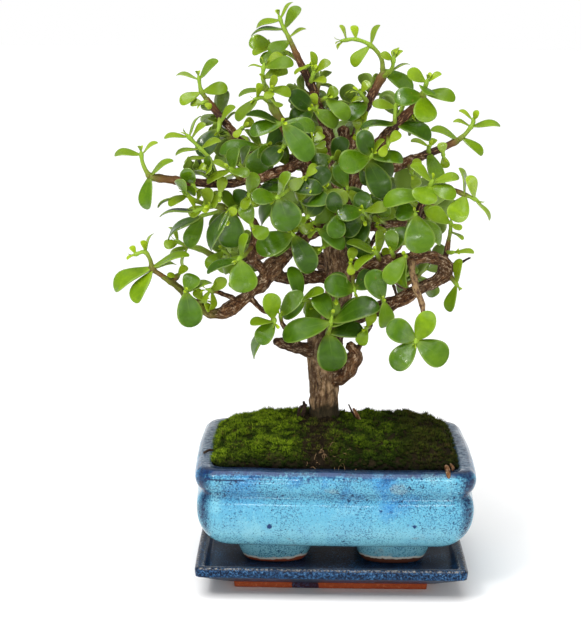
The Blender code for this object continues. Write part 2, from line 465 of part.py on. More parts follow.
def seen_leaf(rows, share, x, z, out, tilt, width):
    """Make the leaf that lines up with a tip in the picture, its face tilted from the viewer."""
    root = along_route(rows, share)
    tip = sighted(x, z, root[1] + out)
    length = np.linalg.norm(tip - root)
    true_width = max(width, LEAF_SLENDER * length)
    turn = max(math.radians(tilt), math.acos(min(1.0, width / true_width)))
    axis = unit(tip - root)
    viewer = unit(np.array(EYE) - root)
    toward = unit(viewer - axis * axis.dot(viewer))
    upward = np.cross(toward, axis)
    if upward[2] < 0.0:
        upward = -upward
    return Leaf(root, tip, toward * math.cos(turn) + upward * math.sin(turn), true_width)


def front_shoot(shoot):
    """Return the stem and the leaves of a shoot that the table gives."""
    base = at_station(limb_points(shoot.limb), shoot.station)
    through = [sighted(x, z, base[1] + behind) for x, z, behind in shoot.route]
    rows = stem_rows(shoot.limb, shoot.station, through)
    return rows, [seen_leaf(rows, *leaf) for leaf in shoot.leaves]


def back_shoot(number, limb, station):
    """Return the stem and the leaves of a shoot on the hidden side.

    The stem leaves its limb outwards and a little up, turned by the golden angle from shoot to
    shoot. Pairs of leaves stand across it, each pair square to the last, smaller towards the tip.
    """
    draw = random.Random(BACK_SEED + number)
    points = limb_points(limb)
    base = at_station(points, station)
    outward = unit(np.array([base[0] * 0.7, base[1], 18.0]))
    around = number * GOLDEN
    sideways = np.array([math.cos(around), 0.0, math.sin(around)])
    heading = unit(outward + 0.55 * sideways)
    tangent = limb_heading(limb, station)
    if station < len(points) - 1:
        heading = unit(heading - tangent * heading.dot(tangent) + 0.45 * tangent)
    length = draw.uniform(22.0, 30.0)
    bend = np.array([0.0, 0.0, 1.0])
    through = [base[:3] + heading * length * share + bend * 5.0 * share ** 2 for share in (0.4, 0.7, 1.0)]
    rows = stem_rows(limb, station, through)
    across = unit(np.cross(heading, [0.0, 0.0, 1.0]))
    leaves = []
    for node, share in enumerate((0.42, 0.7, 0.98)):
        side = across if node % 2 else np.cross(heading, across)
        for way in (-1.0, 1.0):
            opening = math.radians(draw.uniform(52.0, 72.0) - 9.0 * node)
            axis = unit(heading * math.cos(opening) + side * way * math.sin(opening))
            reach = (21.0 - 3.6 * node) * draw.uniform(0.88, 1.1)
            root = along_route(rows, share)
            face = unit(heading - axis * axis.dot(heading))
            leaves.append(Leaf(root, root + axis * reach, face, reach * 0.74))
    return rows, leaves


def swung(leaf, depth_degrees, side_degrees):
    """Swing a leaf about its root: away from or towards its upper face, and to a side."""
    axis = unit(leaf.tip - leaf.root)
    side = np.cross(axis, leaf.face)
    length = np.linalg.norm(leaf.tip - leaf.root)
    depth, aside = math.radians(depth_degrees), math.radians(side_degrees)
    ahead = axis * math.cos(depth) * math.cos(aside)
    turned = unit(ahead + leaf.face * math.sin(depth) + side * math.sin(aside))
    face = unit(leaf.face - turned * turned.dot(leaf.face))
    return Leaf(leaf.root, leaf.root + turned * length, face, leaf.width)


def shrunk(leaf, share):
    """Return the leaf at a share of its size."""
    return Leaf(leaf.root, leaf.root + (leaf.tip - leaf.root) * share, leaf.face, leaf.width * share)


def leaf_place(leaf, along, across, lift):
    """Return the point of a leaf that is a share along it, a width across it and a lift above it."""
    axis = leaf.tip - leaf.root
    length = np.linalg.norm(axis)
    side = np.cross(unit(axis), leaf.face)
    arch = LEAF_ARCH * length * 6.75 * along ** 2 * (1.0 - along)
    cup = LEAF_CUP * abs(across)
    return leaf.root + axis * along + side * across + leaf.face * (arch + cup + lift)


def half_width(along):
    """Return how wide the leaf is at a share of its length, as a share of half its width."""
    ends = LEAF_RINGS + [(1.0, 0.0, 0.0)]
    return float(np.interp(along, [ring[0] for ring in ends], [ring[1] for ring in ends]))


def leaf_probes(leaf):
    """Return points spread over the leaf, for keeping it clear of its neighbours."""
    probes = []
    for along in PROBE_ALONG:
        wide = half_width(along) * leaf.width / 2.0
        for share in PROBE_ACROSS:
            probes.append(leaf_place(leaf, along, share * wide, 0.0))
    return np.array(probes)


def segment_gaps(probes, rows):
    """Return the least gap from any of the probes to a tube's own surface."""
    least = 1e9
    for start, end in zip(rows[:-1], rows[1:]):
        along = end[:3] - start[:3]
        share = np.clip((probes - start[:3]) @ along / along.dot(along), 0.0, 1.0)
        near = start[:3] + share[:, None] * along
        radius = start[3] + (end[3] - start[3]) * share
        least = min(least, float((np.linalg.norm(probes - near, axis=1) - radius).min()))
    return least


class Room:
    """What fills the space round the plant: its limbs, its stems and the leaves placed so far."""

    def __init__(self):
        """Start with the limbs alone."""
        self.tubes = [(None, smooth_route(limb_points(name), WOOD_STEP)) for name in LIMBS]
        self.leaves = []

    def is_clear(self, leaf, owner):
        """Tell whether the leaf is clear of all that is not its own shoot."""
        probes = leaf_probes(leaf)
        centre = probes.mean(axis=0)
        reach = np.linalg.norm(probes - centre, axis=1).max()
        for tube_owner, rows in self.tubes:
            if tube_owner == owner:
                continue
            if np.linalg.norm(rows[:, :3] - centre, axis=1).min() > reach + WOOD_STEP + 12.0:
                continue
            if segment_gaps(probes, rows) < WOOD_GAP:
                return False
        for leaf_owner, other_centre, other_reach, others in self.leaves:
            if leaf_owner == owner:
                continue
            if np.linalg.norm(other_centre - centre) > reach + other_reach + PROBE_GAP:
                continue
            apart = np.linalg.norm(probes[:, None, :] - others[None, :, :], axis=2)
            if apart.min() < PROBE_GAP:
                return False
        return True

    def settle(self, leaf, owner):
        """Bend a leaf clear of the rest by the least swing, or return None where none is clear."""
        for share in (1.0, 0.82):
            for depth_degrees, side_degrees in SWINGS:
                bent = swung(shrunk(leaf, share), depth_degrees, side_degrees)
                if self.is_clear(bent, owner):
                    probes = leaf_probes(bent)
                    centre = probes.mean(axis=0)
                    reach = np.linalg.norm(probes - centre, axis=1).max()
                    self.leaves.append((owner, centre, reach, probes))
                    return bent
        return None


def ring(length, width, inset, level, corner=POT_CORNER, bow=SIDE_BOW, shift=POT_X):
    """Return one rounded rectangle, anticlockwise from above, its sides bowed a little outwards."""
    half_x, half_y = length / 2.0 - inset, width / 2.0 - inset
    radius = max(corner - 0.35 * inset, 0.35 * corner)
    arcs = []
    for quarter, (sign_x, sign_y) in enumerate([(1, 1), (-1, 1), (-1, -1), (1, -1)]):
        for step in range(RING_CORNER_STEPS + 1):
            angle = math.radians(90.0 * (quarter + step / RING_CORNER_STEPS))
            arcs.append((sign_x * (half_x - radius) + radius * math.cos(angle),
                         sign_y * (half_y - radius) + radius * math.sin(angle)))
    points = []
    per_corner = RING_CORNER_STEPS + 1
    for quarter in range(4):
        points.extend(arcs[quarter * per_corner:(quarter + 1) * per_corner])
        start, end = arcs[(quarter + 1) * per_corner - 1], arcs[((quarter + 1) * per_corner) % len(arcs)]
        outward = ((0, 1), (-1, 0), (0, -1), (1, 0))[quarter]
        for share in RING_SIDE_SHARES:
            points.append((start[0] + (end[0] - start[0]) * share + outward[0] * bow,
                           start[1] + (end[1] - start[1]) * share + outward[1] * bow))
    return [(x + shift, y, level) for x, y in points]


def loft(name, rings):
    """Join rings of as many points each with faces, closed by a flat face at both ends."""
    shape = bmesh.new()
    rows = [[shape.verts.new(Vector(point) * MM) for point in one] for one in rings]
    for low, high in zip(rows[:-1], rows[1:]):
        for i in range(len(low)):
            after = (i + 1) % len(low)
            shape.faces.new((low[i], low[after], high[after], high[i]))
    shape.faces.new(list(reversed(rows[0])))
    shape.faces.new(rows[-1])
    bmesh.ops.recalc_face_normals(shape, faces=shape.faces)
    return mesh_object(name, shape)


def mesh_object(name, shape):
    """Turn a bmesh into an object in the scene."""
    mesh = bpy.data.meshes.new(name)
    shape.to_mesh(mesh)
    shape.free()
    piece = bpy.data.objects.new(name, mesh)
    bpy.context.scene.collection.objects.link(piece)
    return piece


def tube(name, rows, sides):
    """Make a tube with flat ends through rows of x, y, z, radius, as full as a round one."""
    curve = bpy.data.curves.new(name, "CURVE")
    curve.dimensions = "3D"
    curve.bevel_depth = MM
    curve.bevel_resolution = sides // 2 - 2
    curve.use_fill_caps = True
    spline = curve.splines.new("POLY")
    spline.points.add(len(rows) - 1)
    full = math.sqrt(2.0 * math.pi / (sides * math.sin(2.0 * math.pi / sides)))
    for point, (x, y, z, radius) in zip(spline.points, rows):
        point.co = (x * MM, y * MM, z * MM, 1.0)
        point.radius = radius * full
    guide = bpy.data.objects.new(name, curve)
    bpy.context.scene.collection.objects.link(guide)
    bpy.context.view_layer.update()
    seen = guide.evaluated_get(bpy.context.evaluated_depsgraph_get())
    mesh = bpy.data.meshes.new_from_object(seen)
    shape = bmesh.new()
    shape.from_mesh(mesh)
    bmesh.ops.remove_doubles(shape, verts=shape.verts, dist=1e-6)
    bmesh.ops.recalc_face_normals(shape, faces=shape.faces)
    bpy.data.meshes.remove(mesh)
    bpy.data.objects.remove(guide)
    return mesh_object(name, shape)


def leaf_object(name, leaf):
    """Make one thick leaf, flat above and ridged below, drawn in to a point at the tip."""
    shape = bmesh.new()
    thick = min(LEAF_THICK * leaf.width, LEAF_MAX_THICK)
    rows = []
    for along, share, depth in SMALL_RINGS if leaf.width < SMALL_WIDTH else LEAF_RINGS:
        wide = share * leaf.width / 2.0
        deep = depth * thick / 3.0
        corners = [(-wide, deep), (wide, deep), (0.0, -2.0 * deep)]
        rows.append([shape.verts.new(Vector(leaf_place(leaf, along, across, lift)) * MM)
                     for across, lift in corners])
    tip = shape.verts.new(Vector(leaf_place(leaf, 1.0, 0.0, 0.0)) * MM)
    for low, high in zip(rows[:-1], rows[1:]):
        for i in range(3):
            after = (i + 1) % 3
            shape.faces.new((low[i], low[after], high[after], high[i]))
    for i in range(3):
        shape.faces.new((rows[-1][i], rows[-1][(i + 1) % 3], tip))
    shape.faces.new(rows[0])
    bmesh.ops.recalc_face_normals(shape, faces=shape.faces)
    bmesh.ops.triangulate(shape, faces=shape.faces)
    return mesh_object(name, shape)


def is_whole(mesh):
    """Tell whether the mesh is one body, with two faces on every edge of it."""
    shape = bmesh.new()
    shape.from_mesh(mesh)
    closed = all(len(edge.link_faces) == 2 for edge in shape.edges)
    reached = {shape.verts[:][0]}
    fresh = list(reached)
    while fresh:
        corner = fresh.pop()
        for edge in corner.link_edges:
            other = edge.other_vert(corner)
            if other not in reached:
                reached.add(other)
                fresh.append(other)
    whole = closed and len(reached) == len(shape.verts)
    shape.free()
    return whole


def joined(pieces, name):
    """Fuse the pieces into the first one with one Boolean union, and remove the rest."""
    body, others = pieces[0], pieces[1:]
    if others:
        gathered = bpy.data.collections.new("joining")
        bpy.context.scene.collection.children.link(gathered)
        for piece in others:
            gathered.objects.link(piece)
        union = body.modifiers.new("union", "BOOLEAN")
        union.operation = "UNION"
        union.operand_type = "COLLECTION"
        union.collection = gathered
        for solver in ("EXACT", "MANIFOLD"):
            union.solver = solver
            bpy.context.view_layer.update()
            seen = body.evaluated_get(bpy.context.evaluated_depsgraph_get())
            mesh = bpy.data.meshes.new_from_object(seen)
            if is_whole(mesh):
                break
        body.modifiers.clear()
        body.data = mesh
        for piece in others:
            bpy.data.objects.remove(piece)
        bpy.data.collections.remove(gathered)
    body.name = name
    body.data.name = name
    return body


def cut(body, cutters, holder):
    """Cut the cutters out of the body, and keep them out of sight in their own collection."""
    for number, cutter in enumerate(cutters):
        for old in cutter.users_collection:
            old.objects.unlink(cutter)
        holder.objects.link(cutter)
        cutter.hide_render = True
        cutter.display_type = "WIRE"
        remove = body.modifiers.new(f"cut {number}", "BOOLEAN")
        remove.operation = "DIFFERENCE"
        remove.object = cutter


def material(name, colour, roughness, coat=0.0):
    """Make a plain Principled material."""
    made = bpy.data.materials.new(name)
    made.use_nodes = True
    surface = made.node_tree.nodes["Principled BSDF"]
    surface.inputs["Base Color"].default_value = (*colour, 1.0)
    surface.inputs["Roughness"].default_value = roughness
    surface.inputs["Metallic"].default_value = 0.0
    surface.inputs["Coat Weight"].default_value = coat
    return made


def cylinder(name, x, y, low, high, radius, sides=16):
    """Make an upright cylinder between two levels."""
    shape = bmesh.new()
    bmesh.ops.create_cone(shape, cap_ends=True, segments=sides, radius1=radius * MM, radius2=radius * MM,
                          depth=(high - low) * MM)
    bmesh.ops.translate(shape, verts=shape.verts, vec=Vector((x, y, (low + high) / 2.0)) * MM)
    return mesh_object(name, shape)


def box(name, centre, size):
    """Make a box from its centre and its size."""
    shape = bmesh.new()
    bmesh.ops.create_cube(shape, size=1.0)
    bmesh.ops.scale(shape, verts=shape.verts, vec=Vector(size) * MM)
    bmesh.ops.translate(shape, verts=shape.verts, vec=Vector(centre) * MM)
    return mesh_object(name, shape)


def build_saucer():
    """Loft the saucer: up its plinth and outer band, over the lip, down to its floor."""
    rings = [ring(SAUCER_LENGTH, SAUCER_WIDTH, inset, level, SAUCER_CORNER, 0.4, 0.0)
             for level, inset in SAUCER]
    return loft("saucer", rings)


def foot(sign_x, sign_y):
    """Loft one foot, an oval that tapers down from inside the pot's belly."""
    sides = 12
    rings = []
    for share in (0.0, 0.18, 0.6, 1.0):
        level = SAUCER_FLOOR + CLEAR + (POT_BASE + 3.5 - SAUCER_FLOOR - CLEAR) * share
        grow = share ** 0.75
        long_x = FOOT_BOTTOM_SIZE[0] + (FOOT_TOP_SIZE[0] - FOOT_BOTTOM_SIZE[0]) * grow
        long_y = FOOT_BOTTOM_SIZE[1] + (FOOT_TOP_SIZE[1] - FOOT_BOTTOM_SIZE[1]) * grow
        oval = []
        for i in range(sides):
            angle = 2.0 * math.pi * i / sides
            oval.append((POT_X + sign_x * FOOT_CENTRE[0] + long_x / 2.0 * math.cos(angle),
                         sign_y * FOOT_CENTRE[1] + long_y / 2.0 * math.sin(angle), level))
        rings.append(oval)
    return loft("foot", rings)


def build_pot(holder):
    """Loft the pot's wall outside and in, join its four feet and bore its two drain holes."""
    rings = [ring(POT_LENGTH, POT_WIDTH, inset, level) for level, inset in OUTER_POT + INNER_POT]
    body = loft("pot", rings)
    feet = [foot(sign_x, sign_y) for sign_x in (-1, 1) for sign_y in (-1, 1)]
    body = joined([body, *feet], "pot")
    holes = [cylinder("drain_cutter", POT_X + sign * DRAIN_X, 0.0, POT_BASE - 4.0, POT_FLOOR + 4.0,
                      DRAIN_RADIUS) for sign in (-1, 1)]
    cut(body, holes, holder)
    return body


def build_screen(name, x):
    """Make a flat plastic screen with a grid of square holes."""
    level = POT_FLOOR + CLEAR + SCREEN_THICK / 2.0
    sheet = box(name, (x, 0.0, level), (SCREEN_SIZE, SCREEN_SIZE, SCREEN_THICK))
    pitch = SCREEN_SIZE / SCREEN_BARS
    holes = []
    for i in range(SCREEN_BARS - 1):
        for j in range(SCREEN_BARS - 1):
            centre = (x + (i - (SCREEN_BARS - 2) / 2.0) * pitch,
                      (j - (SCREEN_BARS - 2) / 2.0) * pitch, level)
            holes.append(box("hole", centre, (pitch * 0.6, pitch * 0.6, SCREEN_THICK * 3.0)))
    gathered = bmesh.new()
    for hole in holes:
        gathered.from_mesh(hole.data)
        bpy.data.objects.remove(hole)
    return sheet, mesh_object(f"{name}_cutter", gathered)


def mound_height(x, y):
    """Return how far the soil stands above its edge: a flat-topped mound with low bumps."""
    rise = SOIL_RISE * (1.0 - min(1.0, abs((x - POT_X) / 71.0)) ** 4.5)
    rise *= 1.0 - min(1.0, abs((y - 1.0) / 53.0)) ** 2.4
    bumps = math.sin(x * CLUMP * 2.1 + 0.7) * math.cos(y * CLUMP * 2.6)
    bumps += math.sin(x * CLUMP + y * CLUMP * 1.4)
    return rise + SOIL_BUMP * bumps * min(1.0, rise / 8.0)


def wall_inset(level):
    """Return how far the pot's inner wall stands in from its widest line at a level."""
    levels = [place[0] for place in reversed(INNER_POT)]
    return float(np.interp(level, levels, [place[1] for place in reversed(INNER_POT)]))


def build_soil():
    """Loft the soil inside the pot's wall, over its mound and down the plain hole for the trunk."""
    levels = [level for level, _ in reversed(INNER_POT) if SOIL_BOTTOM < level < SOIL_EDGE]
    levels.insert(0, SOIL_BOTTOM)
    rings = [ring(POT_LENGTH, POT_WIDTH, wall_inset(level) + 2.0 * CLEAR, level) for level in levels]
    edge = ring(POT_LENGTH, POT_WIDTH, wall_inset(SOIL_EDGE) + 2.0 * CLEAR, SOIL_EDGE)
    hole = []
    for i in range(len(edge)):
        angle = math.radians(HOLE_TURN + 360.0 * i / len(edge))
        hole.append((TRUNK_BASE[0] + TRUNK_HOLE * math.cos(angle),
                     TRUNK_BASE[1] + TRUNK_HOLE * math.sin(angle)))
    for share in SOIL_STEPS:
        top = []
        for (x, y, _), (hole_x, hole_y) in zip(edge, hole):
            at_x, at_y = x + (hole_x - x) * share, y + (hole_y - y) * share
            top.append((at_x, at_y, SOIL_EDGE + (mound_height(at_x, at_y) if share else 0.0)))
        rings.append(top)
    foot_level = limb_points("trunk")[0, 2]
    rings.append([(x, y, foot_level - 2.0 * CLEAR) for x, y in hole])
    return loft("soil", rings)


def build_plant():
    """Build the woody part and every leafy spray and shoot, each its own object."""
    room = Room()
    shoots = [(shoot.limb, shoot.station, *front_shoot(shoot)) for shoot in SHOOTS]
    shoots += [(limb, station, *back_shoot(number, limb, station))
               for number, (limb, station) in enumerate(BACK_PLACES)]
    for owner, (_, _, rows, _) in enumerate(shoots):
        room.tubes.append((owner, rows))
    wood, groups = [], {}
    for name in LIMBS:
        points = limb_points(name)
        start = SPRAY_STARTS.get(name)
        sides = WOOD_SIDES if points[0, 3] > TWIG_RADIUS else TWIG_SIDES
        wood.append(tube(name, smooth_route(cut_points(points, 0.0, start), WOOD_STEP), sides))
        if start is not None:
            young = cut_points(points, start)
            young[0, :3] += unit(young[1, :3] - young[0, :3]) * CUT_GAP
            groups[name] = [tube(name, smooth_route(young, WOOD_STEP), TWIG_SIDES)]
    for owner, (limb, station, rows, leaves) in enumerate(shoots):
        if limb in SPRAY_STARTS and station > SPRAY_STARTS[limb]:
            key = limb
        else:
            key = f"shoot_{owner + 1:02d}"
            base = at_station(limb_points(limb), station)
            stub_end = rows[0, :3] - unit(rows[0, :3] - base[:3]) * CLEAR
            stub = np.array([[*base[:3], rows[0, 3]], [*stub_end, rows[0, 3]]])
            wood.append(tube("stub", stub, STEM_SIDES))
            groups[key] = []
        bud = rows[-1, :3] + unit(rows[-1, :3] - rows[-2, :3]) * BUD_LENGTH
        stem = np.vstack([rows, [*bud, BUD_RADIUS]])
        groups[key].append(tube("stem", smooth_route(stem, STEM_STEP), STEM_SIDES))
        for leaf in leaves:
            placed = room.settle(leaf, owner)
            if placed is not None:
                groups[key].append(leaf_object("leaf", placed))
    woody = joined(wood, "trunk_and_limbs")
    sprays = []
    for key, pieces in groups.items():
        name = key if key.startswith("shoot") else f"spray_{key}"
        sprays.append(joined(pieces, name))
    return woody, sprays


def build():
    """Build every piece, dress it and put it in the bonsai's collection."""
    for old in list(bpy.data.objects):
        bpy.data.objects.remove(old)
    parts = bpy.data.collections.new("elephant_bush_bonsai")
    holder = bpy.data.collections.new("cutters")
    bpy.context.scene.collection.children.link(parts)
    bpy.context.scene.collection.children.link(holder)
    blue = material("light_blue_glaze", (0.20, 0.56, 0.76), 0.18, 0.6)
    navy = material("dark_blue_glaze", (0.02, 0.05, 0.13), 0.22, 0.5)
    earth = material("soil_and_moss", (0.07, 0.09, 0.02), 0.95)
    mesh = material("screen_plastic", (0.03, 0.03, 0.03), 0.6)
    bark = material("bark", (0.20, 0.12, 0.07), 0.85)
    green = material("leaf_green", (0.14, 0.34, 0.03), 0.35, 0.2)
    dressed = [(build_saucer(), navy), (build_pot(holder), blue), (build_soil(), earth)]
    for name, x in (("drain_screen_left", POT_X - DRAIN_X), ("drain_screen_right", POT_X + DRAIN_X)):
        sheet, holes = build_screen(name, x)
        cut(sheet, [holes], holder)
        dressed.append((sheet, mesh))
    woody, sprays = build_plant()
    dressed.append((woody, bark))
    dressed += [(spray, green) for spray in sprays]
    for piece, finish in dressed:
        piece.data.materials.clear()
        piece.data.materials.append(finish)
        for old in piece.users_collection:
            old.objects.unlink(piece)
        parts.objects.link(piece)


build()
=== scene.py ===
"""Elephant bush bonsai in a speckled light blue pot on a navy saucer: the visual model.

Sizes are in millimetres until a mesh is made, which is in metres. X runs to the viewer's right, Y
away from the viewer and Z up, from the surface that the saucer stands on. The limbs, shoots and
leaves are placed by the same tables and rules as the solids that they stand for.
"""

from __future__ import annotations

import logging
import math
import random
from dataclasses import dataclass
from enum import Enum
from typing import NamedTuple, Optional, Sequence

import bpy
import numpy as np
from mathutils import Matrix, Vector
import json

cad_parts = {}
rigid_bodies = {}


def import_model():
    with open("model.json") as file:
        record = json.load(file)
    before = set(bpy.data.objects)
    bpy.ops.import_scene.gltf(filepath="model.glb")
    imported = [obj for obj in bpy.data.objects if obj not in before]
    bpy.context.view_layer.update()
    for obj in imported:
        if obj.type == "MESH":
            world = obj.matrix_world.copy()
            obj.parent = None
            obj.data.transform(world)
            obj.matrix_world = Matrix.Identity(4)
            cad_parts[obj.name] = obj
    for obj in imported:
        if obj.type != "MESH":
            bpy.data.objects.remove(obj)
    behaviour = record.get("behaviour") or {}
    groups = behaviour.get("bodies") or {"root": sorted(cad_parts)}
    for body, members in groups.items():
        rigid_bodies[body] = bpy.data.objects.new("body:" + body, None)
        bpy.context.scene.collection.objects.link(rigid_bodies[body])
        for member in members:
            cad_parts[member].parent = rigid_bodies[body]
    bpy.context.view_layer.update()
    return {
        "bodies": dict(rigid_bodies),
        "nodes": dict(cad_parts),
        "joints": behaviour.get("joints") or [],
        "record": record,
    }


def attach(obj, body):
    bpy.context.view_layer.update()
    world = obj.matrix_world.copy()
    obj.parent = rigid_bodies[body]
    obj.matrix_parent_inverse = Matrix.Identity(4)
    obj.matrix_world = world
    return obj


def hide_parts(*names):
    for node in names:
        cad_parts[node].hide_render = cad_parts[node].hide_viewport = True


LOG = logging.getLogger("elephant_bush")
MM = 0.001
Colour = tuple[float, float, float]
Rows = np.ndarray
Finish = bpy.types.Material
Piece = bpy.types.Object

CLEAR = 0.3
TRUNK_BASE = (-5, 8)
EYE = Vector((-15, -894, 328.5))
WOOD_STEP = 16
STUB_PAST = 1.6
STEM_RADIUS = (1.45, 0.95)
STEM_LEAST = 1.6
FULLER = 1.12
SINE_LEAST = 0.7
BUD_LENGTH = 2.4
BUD_RADIUS = 0.55
GOLDEN = 2.39996
LEAF_RINGS = [(0, 0.09, 0.4), (0.46, 0.86, 1), (0.84, 0.88, 0.9)]
LEAF_ARCH = 0.12
LEAF_CUP = 0.1
LEAF_SLENDER = 0.5
PROBE_ALONG = (0.3, 0.42, 0.54, 0.66, 0.78, 0.9, 1)
PROBE_ACROSS = (-0.9, -0.45, 0, 0.45, 0.9)
PROBE_GAP = 2.7
WOOD_GAP = 1.9
TUBE_MARGIN = 12
EXTRA_GAPS = (0.9, 0.6)
EXTRA_OWNER = 1000
EXTRA_BATCH = 14
EXTRA_SEED = 3000
FILLER_SEED = 61
POT_X = 1.6
OUTER_POT = [(26, 21.5), (30, 11.5), (36, 5.4), (43, 2), (50.5, 0.8), (56.5, 1.3), (61, 3.1),
             (64.8, 1.1), (68.8, 0), (72.6, 0.5), (75.4, 3.2)]
INNER_POT = [(75.4, 9), (73.8, 10.2), (58, 11), (43, 13), (36, 19), (33, 27)]
SAUCER = [(0, 21.5), (3.6, 21), (4.4, 18.5), (12.6, 2.2), (13.6, 0.4), (17.6, 0), (18.5, 0.9),
          (18.5, 4.4), (17.7, 5.6), (14.6, 7.6), (14, 9.5)]
BACK_SEED = 11
SWINGS = [(0, 0), (10, 0), (-10, 0), (20, 0), (-20, 0), (0, 10), (0, -10), (30, 0), (-30, 0), (15, 12),
          (-15, 12), (15, -12), (-15, -12), (42, 0), (-42, 0), (30, 15), (-30, 15), (30, -15), (-30, -15),
          (0, 22), (0, -22), (50, 12), (-50, 12), (50, -12), (-50, -12), (25, 28), (-25, 28), (25, -28),
          (-25, -28), (60, 0), (-60, 0)]

